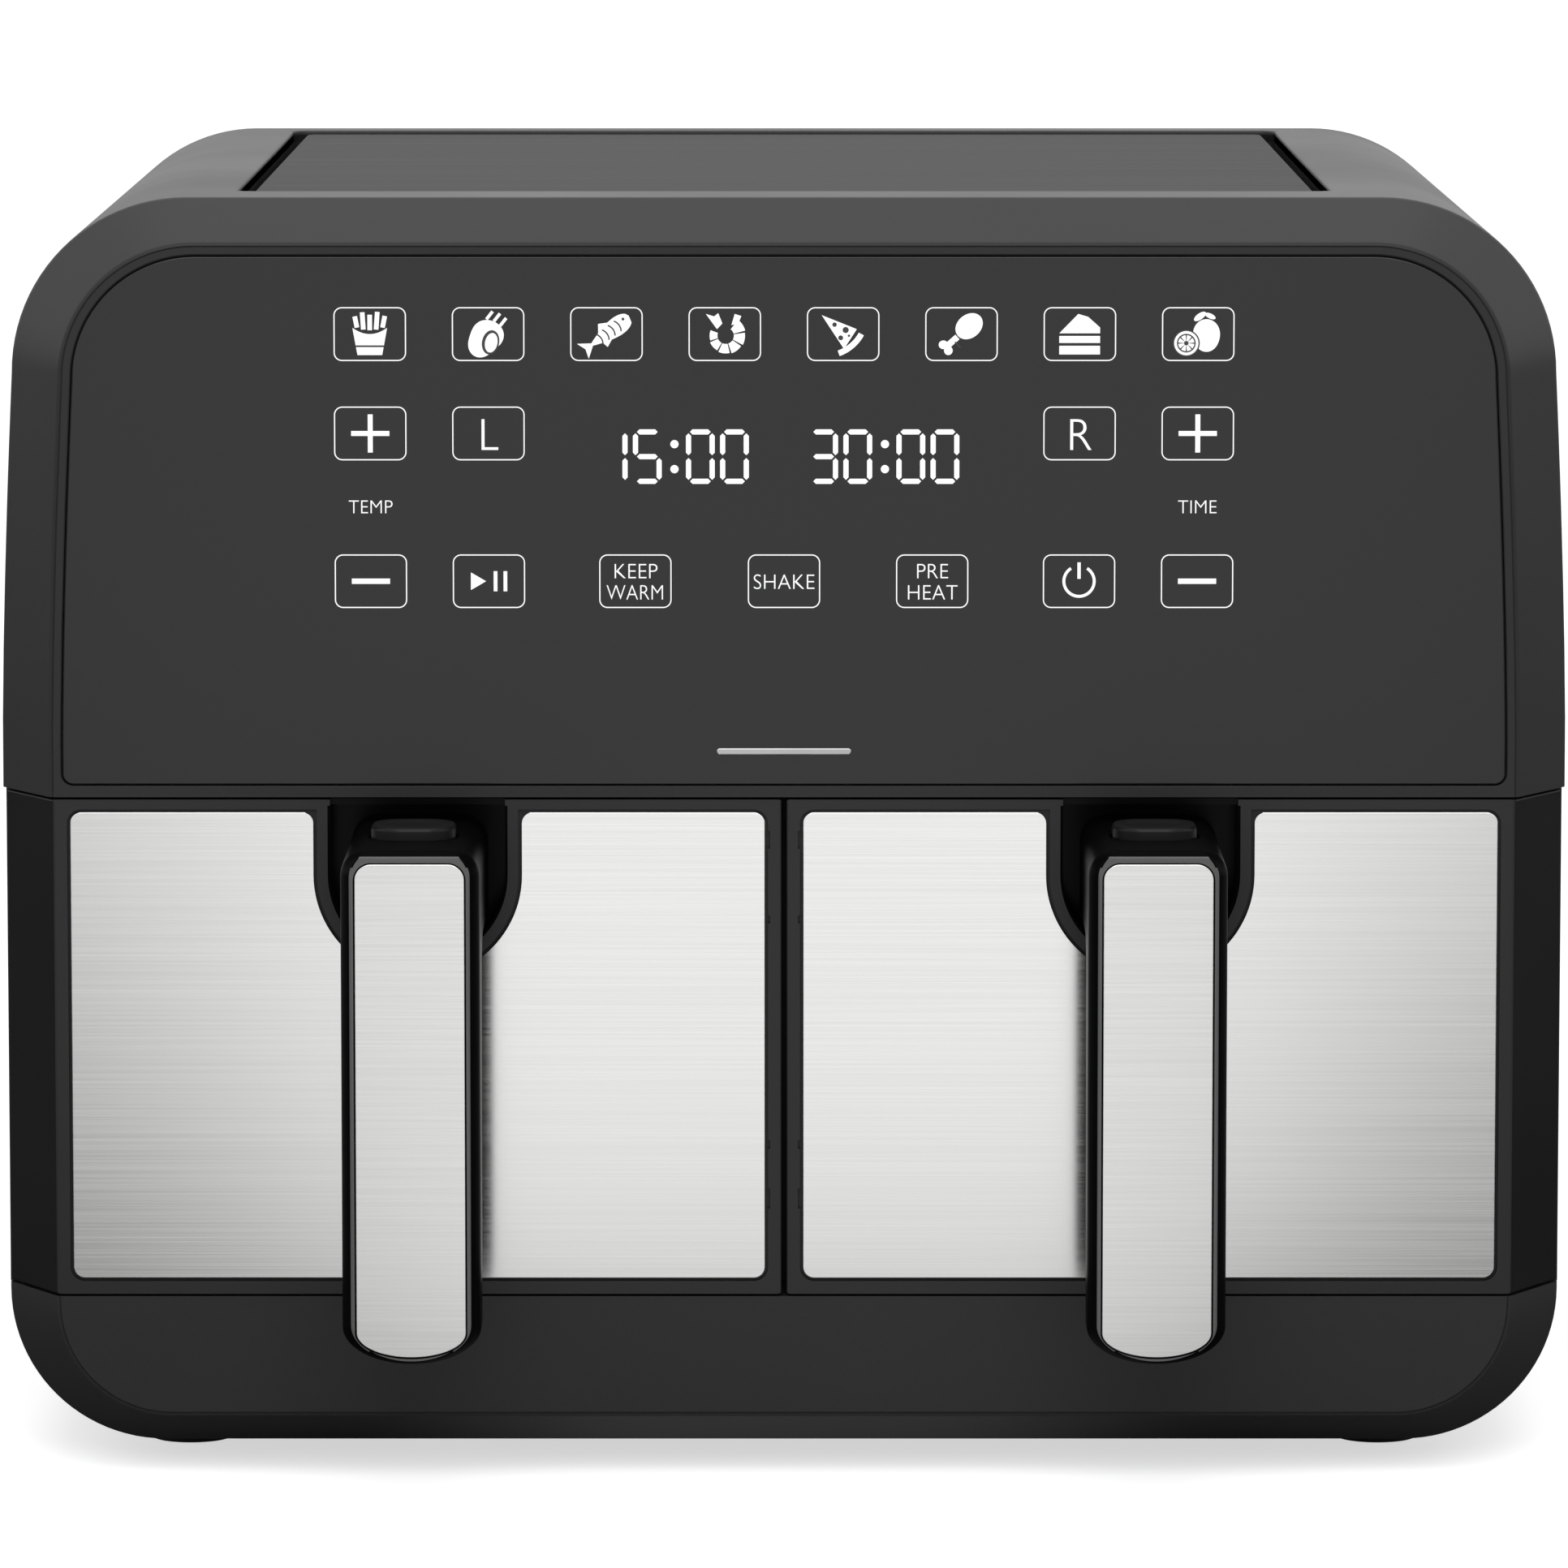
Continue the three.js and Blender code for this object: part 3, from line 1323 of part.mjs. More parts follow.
function sharedPieces() {
  const footX = half - FOOT_SIDE_INSET;
  const footBack = BODY_DEPTH - FOOT_END_INSET;
  const corners = ["lower_left", "upper_left", "lower_right", "upper_right"];
  return [
    piece("upper_housing", upperHousing(), "shell"),
    piece("lower_housing", lowerHousing(), "shell"),
    piece("base", base(), "shell"),
    piece("rear_cover", rearCoverPlate(), "shell"),
    piece("top_plate", topPlate(), "panel"),
    piece("control_panel", controlPanel(), "panel"),
    piece("display_board", displayBoard(), "board"),
    piece("left_led_display", ledDisplay(-1), "display"),
    piece("right_led_display", ledDisplay(1), "display"),
    piece("power_board", powerBoard(), "board"),
    piece("cord_gland", cordGland(), "rubber"),
    piece("foot_front_left", foot(-footX, FOOT_END_INSET), "rubber"),
    piece("foot_front_right", foot(footX, FOOT_END_INSET), "rubber"),
    piece("foot_back_left", foot(-footX, footBack), "rubber"),
    piece("foot_back_right", foot(footX, footBack), "rubber"),
    ...screwPlaces().map((place, i) => piece(`cover_screw_${corners[i]}`, coverScrew(place), "steel")),
  ];
}

const airFryer = new THREE.Group();
const leftHand = new THREE.Group();
leftHand.scale.x = -1;
leftHand.add(...sidePieces("left"));
airFryer.add(...sharedPieces(), ...sidePieces("right"), leftHand);
airFryer.position.y = -middleY;

export default airFryer;
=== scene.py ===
"""The visible model of a twin-drawer air fryer, laid out as a Blender add-on and run as a script.

Lengths are in metres in the part's own frame: +X to the user's right, +Y from the handles to the back,
+Z up. The drawers' pieces are made in a right-hand pattern, and the left-hand ones are its mirror image.
"""

import math

import bmesh
import bpy
import numpy as np
from bpy.props import FloatProperty, FloatVectorProperty, PointerProperty
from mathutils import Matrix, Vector


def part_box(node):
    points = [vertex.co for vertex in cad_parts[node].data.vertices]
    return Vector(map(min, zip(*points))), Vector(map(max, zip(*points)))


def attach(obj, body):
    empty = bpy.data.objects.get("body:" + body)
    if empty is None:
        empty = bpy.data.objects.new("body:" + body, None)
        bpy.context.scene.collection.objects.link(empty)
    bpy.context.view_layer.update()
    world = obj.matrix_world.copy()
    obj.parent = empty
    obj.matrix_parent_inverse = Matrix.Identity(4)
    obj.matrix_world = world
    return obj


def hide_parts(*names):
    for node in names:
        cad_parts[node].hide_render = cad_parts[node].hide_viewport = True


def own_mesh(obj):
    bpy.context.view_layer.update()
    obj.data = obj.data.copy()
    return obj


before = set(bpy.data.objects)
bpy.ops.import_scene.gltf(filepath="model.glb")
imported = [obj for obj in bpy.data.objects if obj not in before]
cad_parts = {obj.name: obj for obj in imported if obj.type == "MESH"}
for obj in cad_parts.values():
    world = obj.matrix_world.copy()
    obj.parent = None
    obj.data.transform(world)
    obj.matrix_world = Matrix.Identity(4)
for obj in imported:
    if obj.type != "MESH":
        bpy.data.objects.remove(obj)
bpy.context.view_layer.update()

bl_info = {
    "name": "Twin-drawer air fryer",
    "version": (1, 0, 0),
    "blender": (4, 5, 0),
    "location": "3D View > Sidebar > Air fryer",
    "description": "Builds the air fryer's shells, panel, drawers, handles and cooking parts",
    "category": "Object",
}

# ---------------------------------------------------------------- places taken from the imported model


def span(node):
    """A node's lowest and highest corners as arrays."""
    low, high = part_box(node)
    return np.array(low), np.array(high)


UPPER = span("upper_housing")
BASE = span("base")
FRONT = span("right_drawer_front")
PLATE = span("right_steel_plate")
HANDLE = span("right_handle")
INLAY = span("right_handle_inlay")
BUTTON = span("right_release_button")
PANEL = span("control_panel")
TOP_PLATE = span("top_plate")
COVER = span("rear_cover")
FACE_Y = UPPER[0][1]
BACK_Y = UPPER[1][1]
TOP_Z = UPPER[1][2]
SEAM_Z = UPPER[0][2]
HALF = UPPER[1][0]
LOWER_HALF = BASE[1][0]
BASE_TOP = BASE[1][2]
FACE_OUTER = PLATE[1][0] + 0.004
FACE_CENTRE = (HANDLE[0][0] + HANDLE[1][0]) / 2
SIDES = {"left": -1, "right": 1}


# ---------------------------------------------------------------- sizes that no one is likely to change

MM = 0.001  # the symbols are drawn in millimetres
PLAY = 0.001  # how far a cutter reaches past the face that it cuts
SAME_POINT = 1e-6  # points closer than this are one point
FLAT_ANGLE = 0.4  # degrees between faces that are taken as one flat face
CRISP_ANGLE = 32.0  # degrees between faces from which an edge is shaded crisp

SHELL_WALL = 0.0025
FRONT_WALL = 0.0032  # from the drawer front's face to its hollow
BACK_WALL = 0.0055  # from the back to the hollow, with the rear cover's seat in it
NOSE_OVERLAP = 0.0035  # how far the nose's hollow runs past the rim, into the main hollow
PANEL_BACKING = 0.0028  # wall behind the panel
CREASE = (0.0005, 0.0009)  # the two edges of the fine crease, in from the nose's edge
CREASE_DEPTH = 0.0005

RECESS_HALF = 0.1355  # half the width of the recess in the top
RECESS_FRONT = 0.026  # from the rim to the recess
RECESS_BACK = 0.0186  # from the recess to the back
COVER_GAP = 0.0004  # gap round the rear cover
COVER_LEDGE = 0.007  # width of the ledge that the rear cover sits on

COOKING_X = (FACE_OUTER + 0.0142) / 2  # middle of a cooking space
COOKING_Y = 0.0264
SLOTS = 7  # air slots in a row
SLOT_HALF = 0.037  # half an air slot's length
SLOT_RISE = 0.0015  # half its width
SLOT_RADIUS = 0.0014
VENT_PITCH = 0.013  # between the base's vents
OUTLET_PITCH = 0.0065  # between the rear outlets

NOTCHES = ((0.0046, 0.0044), (0.0254, 0.002), (0.081, 0.0022), (0.093, 0.005))  # (fall, height)
NOTCH_REACH = 0.0005
NOTCH_DEPTH = 0.0018
POCKET_LOW = 0.127  # height just below the pocket's round end
BRACKET_HALF = 0.030  # the block behind the drawer front, half its width
BRACKET_LOW = 0.0627
BRACKET_HIGH = 0.0927
# Steps of the handle's bevel, as shares of its depth, its width and its height.
BEVEL_STEPS = ((0.30, 0.60, 0.30), (0.60, 0.27, 0.14), (0.85, 0.07, 0.03))
# The handle's front faces within this depth get a paler grey as a painted highlight.
RIM_DEPTH = 0.0006  # how far behind the handle's face its paler rim reaches

KEY_ROWS = (0.2815, 0.2573, 0.2212)  # heights of the three rows of keys
WIDE_KEYS = (-0.0362, 0.0361)  # places across of the two keys beside the middle one
LABEL_Z = 0.2395  # height of the words between the plus and minus keys
WORD_HEIGHT = 0.0039
WORD_STEP = 0.0026  # half the distance between two lines of words
LETTER_THINNING = -0.016  # how far each letter is drawn in, at a font size of 1
CAPITAL = 0.729  # height of a capital as a share of the font's size
DARK_PRINT = 1.6  # dark lines stand off this many times as far as plain print
OVERPRINT = 2.2  # and print over the dark lines this many times
TIMES = (("left", "15:00", -0.0268), ("right", "30:00", 0.0244))
TIME_HALF = 0.01825  # half the width of a lit time
TIME_Z = 0.2450
FIGURE_SHIFTS = (0.0, 0.0083, 0.0212, 0.0295)

FLOOR_REACH = 14.0
CAMERA_LENS = 225.65  # in millimetres, on a sensor of the width below
CAMERA_SENSOR = 36.0
CAMERA_PLACE = (0.0, -2.5372, 0.45312)
CAMERA_TILT = 83.261  # degrees up from straight down


# ---------------------------------------------------------------- what a user would change


def length(name, text, value):
    """A length in metres, shown in the scene's own unit."""
    return FloatProperty(name=name, description=text, default=value, subtype="DISTANCE", unit="LENGTH")


def linear(code):
    """An sRGB hex colour as linear red, green, blue and alpha."""
    parts = [int(code[i : i + 2], 16) / 255 for i in (0, 2, 4)]
    return [p / 12.92 if p <= 0.04045 else ((p + 0.055) / 1.055) ** 2.4 for p in parts] + [1.0]


def colour(name, text, code):
    """A colour whose default is given in sRGB."""
    return FloatVectorProperty(
        name=name, description=text, default=linear(code)[:3], subtype="COLOR", size=3, min=0, max=1
    )


class ShellSizes(bpy.types.PropertyGroup):
    """Sizes of the upper shell, the middle and the base."""

    nose_depth: length("Nose depth", "From the front rim to the face", 0.022)
    nose_side: length("Nose side", "How far the nose tapers in at each side", 0.0132)
    nose_edge: length("Nose edge", "How far the nose tapers in at the top and the bottom", 0.010)
    top_radius: length("Top radius", "Rounding of the two upper corners", 0.043)
    base_radius: length("Base radius", "Rounding of the two lower corners", 0.038)
    side_lean: length("Side lean", "How far each side leans in below the top corner", 0.003)
    lean_start: length("Lean start", "Height above the seam where the lean begins", 0.012)
    back_chamfer: length("Back chamfer", "Slope round the back's edge", 0.004)
    skin: length("Skin", "Wall of the round shells", 0.003)
    edge: length("Edge rounding", "Rounding of the nose's edges", 0.0006)


class PanelSizes(bpy.types.PropertyGroup):
    """Sizes of the control panel and of what is printed on it."""

    margin: length("Margin", "From the nose's edge to the panel", 0.0032)
    radius: length("Radius", "Rounding of the panel's two upper corners", 0.030)
    foot_radius: length("Foot radius", "Rounding of the panel's two lower corners", 0.0025)
    gap: length("Gap", "Gap round the panel", 0.0004)
    window: length("Window margin", "From the panel's edge to the opening behind it", 0.022)
    key_pitch: length("Key pitch", "Distance between two columns of keys", 0.02875)
    key_width: length("Key width", "Width of a key's frame", 0.0176)
    key_height: length("Key height", "Height of a key's frame", 0.0131)
    key_line: length("Key line", "Thickness of a key's printed frame", 0.00027)
    print_depth: length("Print depth", "How far the print stands off the panel", 0.00008)


class DrawerSizes(bpy.types.PropertyGroup):
    """Sizes of the drawer fronts, their plates and their handles."""

    pocket_half: length("Pocket half width", "Half the width of the finger pocket", 0.0214)
    pocket_ring: length("Pocket ring", "Width of the rim round the pocket", 0.0039)
    pocket_straight: length("Pocket straight", "From the front's top to the round end's centre", 0.0186)
    pocket_depth: length("Pocket depth", "Depth of the finger pocket", 0.018)
    pocket_roof: length("Pocket roof", "Thickness over the pocket", 0.0015)
    plate_gap: length("Plate gap", "Gap round the steel plate", 0.0007)
    plate_radius: length("Plate radius", "Corner radius of the steel plate", 0.0028)
    handle_bevel: length("Handle bevel", "Slope in from the handle's sides to its face", 0.0023)
    handle_corner: length("Handle corner", "Rounding of the handle's upper corners", 0.0065)
    handle_rise: length("Handle rise", "Height of the rounding at the handle's lower end", 0.009)
    bar_depth: length("Bar depth", "Depth of the handle's bar", 0.019)
    toe_depth: length("Toe depth", "Depth of the bar at its lower end", 0.014)
    root_height: length("Root height", "Height of the handle's neck", 0.023)
    fillet: length("Fillet", "Rounding between the bar and the neck", 0.010)


class Finishes(bpy.types.PropertyGroup):
    """Colours of the finishes."""

    shell: colour("Shell", "Textured moulding of the shells", "2d2d2e")
    drawer: colour("Drawer", "Satin moulding of the drawer fronts", "2a2a2b")
    gloss: colour("Gloss", "Polished moulding of the handles and buttons", "0b0b0c")
    panel: colour("Panel", "Smoked acrylic of the control panel", "262627")
    top: colour("Top plate", "Satin plate in the top", "1f1f20")
    steel: colour("Steel", "Brushed stainless steel", "e8e8e7")
    inlay: colour("Inlay", "Brushed inlay of the handles", "dcdcdb")
    light: colour("Backlight", "Lit symbols and figures", "ffffff")


class StudioLevels(bpy.types.PropertyGroup):
    """Levels of the studio's lamps, in watts, and of the room's own glow, where 1 is white."""

    overhead: FloatProperty(name="Overhead", description="Soft box over the object", default=4.0)
    front: FloatProperty(name="Front", description="Soft box over the floor in front", default=12.0)
    room: FloatProperty(name="Room", description="Light of the room all round", default=0.55)
    floor_lift: FloatProperty(name="Floor lift", description="Added white of the floor", default=0.62)


# ---------------------------------------------------------------- outlines and surfaces


def arc(x, z, rx, rz, q0, q1, steps=16):
    """Points on an ellipse about (x, z), from one angle to another in quarter turns."""
    angle = np.linspace(q0, q1, steps + 1) * math.pi / 2
    return np.column_stack([x + rx * np.cos(angle), z + rz * np.sin(angle)])


def rounded(x0, x1, z0, z1, radius, steps=10):
    """A rectangle with rounded corners, counter-clockwise."""
    r = radius
    return np.vstack(
        [
            arc(x1 - r, z0 + r, r, r, -1, 0, steps),
            arc(x1 - r, z1 - r, r, r, 0, 1, steps),
            arc(x0 + r, z1 - r, r, r, 1, 2, steps),
            arc(x0 + r, z0 + r, r, r, 2, 3, steps),
        ]
    )


def mirrored(right):
    """A half outline with its mirror image in x, as one loop."""
    return np.vstack([right, right[::-1] * [-1, 1]])


def upper_half(z):
    """Half the upper shell's width at a height: straight, then leaning in as the 1.5th power of height."""
    s = bpy.context.scene.fryer_shell
    start = SEAM_Z + s.lean_start
    share = np.clip((z - start) / (TOP_Z - s.top_radius - start), 0, 1)
    return HALF - s.side_lean * share**1.5


def upper_outline(side, top, radius, low=None):
    """The upper shell's section, inset from the outside: leaning sides, round corners and a flat top."""
    low = SEAM_Z if low is None else low
    corner = TOP_Z - top - radius
    z = np.linspace(low, corner, 12, endpoint=False)
    x = upper_half(corner) - side
    right = np.vstack(
        [np.column_stack([upper_half(z) - side, z]), arc(x - radius, corner, radius, radius, 0, 1, 24)]
    )
    return mirrored(right)


def base_outline(side, bottom, radius, high=None):
    """The base's section: flat on top, straight sides and round lower corners, inset from the outside."""
    high = BASE_TOP if high is None else high
    z = BASE[0][2] + bottom + radius
    right = np.vstack(
        [
            arc(LOWER_HALF - side - radius, z, radius, radius, -1, 0, 24),
            [[LOWER_HALF - side, max(high, z + 1e-4)]],
        ]
    )
    return mirrored(right)


def panel_outline(grow=0.0):
    """The panel's outline: leaning sides, round upper corners and small lower ones, grown by a margin."""
    s, p = bpy.context.scene.fryer_shell, bpy.context.scene.fryer_panel
    side = s.nose_side + p.margin - grow
    top = s.nose_edge + p.margin - grow
    low = SEAM_Z + p.margin - grow
    foot = p.foot_radius + grow
    corner = arc(upper_half(low) - side - foot, low + foot, foot, foot, -1, 0, 6)[:-1]
    upper = upper_outline(side, top, p.radius + grow, low + foot)
    return np.vstack([corner, upper, corner[::-1] * [-1, 1]])


def nose_stations(side, edge, section, front, rim, edge_round):
    """Stations of a tapered nose: a rounded edge at its face, a straight slope and a rounded rim.

    Each rounding is a quadratic curve through the corner's two ends, sampled at five shares.
    """
    depth = rim - front
    reach = 1.6 * edge_round
    stations = []
    for t in np.linspace(0, 1, 5):
        a, b, c = (1 - t) ** 2, 2 * t * (1 - t), t * t
        taper = 1 - reach / depth
        y = front + c * reach
        stations.append(
            (
                y,
                section(
                    a * (side + edge_round) + b * side + c * side * taper,
                    a * (edge + edge_round) + b * edge + c * edge * taper,
                ),
            )
        )
    for t in np.linspace(0, 1, 5):
        a, b, c = (1 - t) ** 2, 2 * t * (1 - t), t * t
        y = rim + (c - a) * reach
        stations.append((y, section(a * side * reach / depth, a * edge * reach / depth)))
    return stations


def back_stations(section, back, chamfer):
    """Stations of a shell's back edge: straight, then a chamfer with both its ends rounded."""
    soft = chamfer * 0.25
    return [
        (back - chamfer - soft, section(0, 0)),
        (back - chamfer - soft * 0.4, section(soft * 0.08, soft * 0.08)),
        (back - chamfer + soft * 0.7, section(soft * 0.7, soft * 0.7)),
        (back - soft * 0.7, section(chamfer - soft * 0.7, chamfer - soft * 0.7)),
        (back, section(chamfer, chamfer)),
    ]


class Surface:
    """Vertices and faces gathered as whole arrays, then made into one mesh."""

    def __init__(self):
        self.points = []
        self.faces = []
        self.count = 0

    def add(self, points, faces):
        self.points.append(np.asarray(points, float).reshape(-1, 3))
        self.faces += [tuple(int(i) + self.count for i in face) for face in faces]
        self.count += len(self.points[-1])
        return self

    def skin(self, loops, capped=True, around=True):
        """Loops of equal length joined one to the next by quads, with a flat face over each end."""
        loops = np.asarray(loops, float)
        rows, n = loops.shape[:2]
        i, j = np.meshgrid(np.arange(rows - 1), np.arange(n if around else n - 1), indexing="ij")
        k = (j + 1) % n
        quads = np.stack([i * n + j, (i + 1) * n + j, (i + 1) * n + k, i * n + k], -1).reshape(-1, 4)
        faces = [tuple(q) for q in quads.tolist()]
        if capped:
            faces += [tuple(range(n)), tuple(range(rows * n - 1, (rows - 1) * n - 1, -1))]
        return self.add(loops.reshape(-1, 3), faces)

    def mirror(self):
        """The same surface reflected in x, with its faces turned round to keep pointing outwards."""
        self.points = [p * [-1, 1, 1] for p in self.points]
        self.faces = [face[::-1] for face in self.faces]
        return self

    def volume(self):
        """Signed volume, from fans of triangles over each face."""
        p = np.vstack(self.points)
        fans = [(f[0], f[i], f[i + 1]) for f in self.faces for i in range(1, len(f) - 1)]
        a, b, c = (p[[t[k] for t in fans]] for k in range(3))
        return float(np.einsum("ij,ij->", a, np.cross(b, c))) / 6

    def outward(self):
        """The same surface with its faces turned round if they point inwards."""
        if self.volume() < 0:
            self.faces = [face[::-1] for face in self.faces]
        return self

    def copy(self):
        """A copy, so that mirroring it leaves the pattern as it was."""
        made = Surface()
        made.points = [p.copy() for p in self.points]
        made.faces = list(self.faces)
        made.count = self.count
        return made

    def object(self, name):
        """The surface as an object in the scene, with its faces pointing outwards."""
        self.outward()
        mesh = bpy.data.meshes.new(name)
        mesh.from_pydata(np.vstack(self.points).tolist(), [], self.faces)
        mesh.update()
        made = bpy.data.objects.new(name, mesh)
        bpy.context.scene.collection.objects.link(made)
        return made


def along_y(stations):
    """A closed body through outlines in x and z, each given as (y, outline)."""
    loops = [np.column_stack([o[:, 0], np.full(len(o), y), o[:, 1]]) for y, o in stations]
    return Surface().skin(loops)


def along_z(stations):
    """A closed body through outlines in x and y, each given as (z, outline)."""
    loops = [np.column_stack([o[:, 0], o[:, 1], np.full(len(o), z)]) for z, o in stations]
    return Surface().skin(loops)


def along_x(stations):
    """A closed body through outlines in y and z, each given as (x, outline)."""
    loops = [np.column_stack([np.full(len(o), x), o[:, 0], o[:, 1]]) for x, o in stations]
    return Surface().skin(loops)


def ring_sheet(outer, inner, front, back):
    """A closed flat frame between two loops of equal length, from one depth to another."""
    count = len(outer)
    corners = ((outer, front), (inner, front), (inner, back), (outer, back))
    points = np.vstack([np.insert(loop, 1, y, axis=1) for loop, y in corners])
    here = np.arange(count)
    after = (here + 1) % count
    row = np.arange(4)[:, None] * count
    up = (row + count) % (4 * count)
    faces = np.stack([row + here, row + after, up + after, up + here], axis=2).reshape(-1, 4)
    return Surface().add(points, faces.tolist()).outward()


def softened(low, high, outline, r):
    """Stations from low to high with both end edges rounded by r: outline(grow) gives each section."""
    turn = np.linspace(0, math.pi / 2, 4)
    start = [(low + r * (1 - math.sin(a)), outline(-r * (1 - math.cos(a)))) for a in turn[::-1]]
    end = [(high - r * (1 - math.sin(a)), outline(-r * (1 - math.cos(a)))) for a in turn]
    return start + end


def box_surface(x0, x1, y0, y1, z0, z1):
    """A plain cutter between three pairs of planes."""
    outline = np.array([[x0, z0], [x1, z0], [x1, z1], [x0, z1]])
    return along_y([(y0, outline), (y1, outline)])


def turned(profile, x, y, sides=48):
    """A profile of radius and height turned about a vertical line.

    Each point is the centre plus the radius times (cos a, sin a).
    """
    angle = np.linspace(0, 2 * math.pi, sides, endpoint=False)
    loops = [
        np.column_stack([x + r * np.cos(angle), y + r * np.sin(angle), np.full(sides, z)])
        for r, z in profile
    ]
    return Surface().skin(loops)


def turned_y(profile, x, z, sides=40):
    """A profile of radius and depth turned about a line along y."""
    angle = np.linspace(0, 2 * math.pi, sides, endpoint=False)
    loops = [
        np.column_stack([x + r * np.cos(angle), np.full(sides, y), z + r * np.sin(angle)])
        for r, y in profile
    ]
    return Surface().skin(loops)


def tube(path, radius, sides=14, closed=False):
    """A round tube: at each point of a path, a circle in the plane across the path's direction.

    The circle's first axis is the direction crossed with up, and its second is that one crossed
    with the direction.
    """
    path = np.asarray(path, float)
    ahead = np.roll(path, -1, 0) - np.roll(path, 1, 0) if closed else np.gradient(path, axis=0)
    ahead /= np.linalg.norm(ahead, axis=1)[:, None]
    up = np.array([0.0, 0.0, 1.0]) if abs(ahead[:, 2]).max() < 0.9 else np.array([0.0, 1.0, 0.0])
    first = np.cross(ahead, up)
    first /= np.linalg.norm(first, axis=1)[:, None]
    second = np.cross(first, ahead)
    angle = np.linspace(0, 2 * math.pi, sides, endpoint=False)
    loops = path[:, None] + radius * (
        np.cos(angle)[None, :, None] * first[:, None] + np.sin(angle)[None, :, None] * second[:, None]
    )
    if closed:
        return Surface().skin(np.vstack([loops, loops[:1]]), capped=False)
    return Surface().skin(loops)


def carved(name, body, cuts=(), joins=(), keeps=()):
    """A body joined with closed surfaces, kept inside others and cut by others, as one closed mesh."""
    made = body.object(name)
    tools = []
    for kind, group in (("UNION", joins), ("INTERSECT", keeps), ("DIFFERENCE", cuts)):
        for surface in group:
            tool = surface.object("cutter")
            tools.append(tool)
            step = made.modifiers.new(kind.lower(), "BOOLEAN")
            step.solver = "MANIFOLD"
            step.operation = kind
            step.object = tool
    graph = bpy.context.evaluated_depsgraph_get()
    mesh = bpy.data.meshes.new_from_object(made.evaluated_get(graph))
    made.modifiers.clear()
    made.data = mesh
    mesh.name = name
    for tool in tools:
        bpy.data.objects.remove(tool)
    if not len(mesh.polygons):
        raise RuntimeError(f"{name} came out empty")
    work = bmesh.new()
    work.from_mesh(mesh)
    bmesh.ops.remove_doubles(work, verts=work.verts, dist=SAME_POINT)
    bmesh.ops.dissolve_limit(
        work, angle_limit=math.radians(FLAT_ANGLE), verts=work.verts, edges=work.edges
    )
    work.to_mesh(mesh)
    work.free()
    return made


def finished(made, body, slot, *materials, replaces=()):
    """Smooth shading with crisp edges, its materials and a body to ride on; the slot is not used."""
    mesh = made.data
    mesh.materials.clear()
    for each in materials:
        mesh.materials.append(each)
    mesh.shade_smooth()
    mesh.set_sharp_from_angle(angle=math.radians(CRISP_ANGLE))
    weigh = made.modifiers.new("even shading", "WEIGHTED_NORMAL")
    weigh.keep_sharp = True
    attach(made, body)
    if replaces:
        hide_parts(*replaces)
    return made


def both_sides(build):
    """Calls build(side, sign) for the left and the right."""
    for side, sign in SIDES.items():
        build(side, sign)


def sided(surface, sign):
    """A copy of the right-hand surface, or its mirror image for the left."""
    made = surface.copy()
    return made.mirror() if sign < 0 else made


# ---------------------------------------------------------------- materials


def add(tree, kind, settings=None, values=None, links=None):
    """A node with its settings, socket values and incoming links."""
    made = tree.nodes.new(kind)
    for key, value in (settings or {}).items():
        setattr(made, key, value)
    for key, value in (values or {}).items():
        made.inputs[key].default_value = value
    for key, source in (links or {}).items():
        tree.links.new(source, made.inputs[key])
    return made


def start(name, **values):
    """A new material with its tree, its shader and object coordinates."""
    material = bpy.data.materials.new(name)
    material.use_nodes = True
    tree = material.node_tree
    shader = tree.nodes["Principled BSDF"]
    for key, value in values.items():
        shader.inputs[key.replace("_", " ")].default_value = value
    where = add(tree, "ShaderNodeTexCoord").outputs["Object"]
    return material, tree, shader, where


def mottled(tree, shader, where, base, spread, scale):
    """A base colour that drifts a little with slow noise, as pigment and handling leave it."""
    noise = add(
        tree, "ShaderNodeTexNoise", values={"Scale": scale, "Detail": 4.0}, links={"Vector": where}
    )
    ramp = add(tree, "ShaderNodeValToRGB", links={"Fac": noise.outputs["Fac"]})
    ramp.color_ramp.elements[0].position = 0.35
    ramp.color_ramp.elements[1].position = 0.65
    ramp.color_ramp.elements[0].color = [c * (1 - spread) for c in base] + [1]
    ramp.color_ramp.elements[1].color = [min(1, c * (1 + spread)) for c in base] + [1]
    tree.links.new(ramp.outputs["Color"], shader.inputs["Base Color"])
    return noise


def grained(tree, shader, where, scale, height, strength=1.0):
    """A fine moulded grain as bump: noise of the given scale per metre and height in metres."""
    noise = add(
        tree, "ShaderNodeTexNoise", values={"Scale": scale, "Detail": 2.0}, links={"Vector": where}
    )
    bump = add(
        tree,
        "ShaderNodeBump",
        values={"Strength": strength, "Distance": height},
        links={"Height": noise.outputs["Fac"]},
    )
    tree.links.new(bump.outputs["Normal"], shader.inputs["Normal"])
    return bump


def varied_roughness(tree, shader, source, low, high):
    """Roughness that runs between two values as a pattern does."""
    spread = add(
        tree,
        "ShaderNodeMapRange",
        values={"From Min": 0.3, "From Max": 0.7, "To Min": low, "To Max": high},
        links={"Value": source},
    )
    tree.links.new(spread.outputs["Result"], shader.inputs["Roughness"])


def textured_abs():
    """Spark-eroded ABS: a dull black moulding whose grain of about 0.5 mm scatters the highlights."""
    material, tree, shader, where = start("textured ABS moulding", IOR=1.29)
    base = list(bpy.context.scene.fryer_finish.shell)
    slow = mottled(tree, shader, where, base, 0.05, 9.0)
    varied_roughness(tree, shader, slow.outputs["Fac"], 0.37, 0.44)
    grained(tree, shader, where, 2400.0, 0.00004, 0.5)
    return material


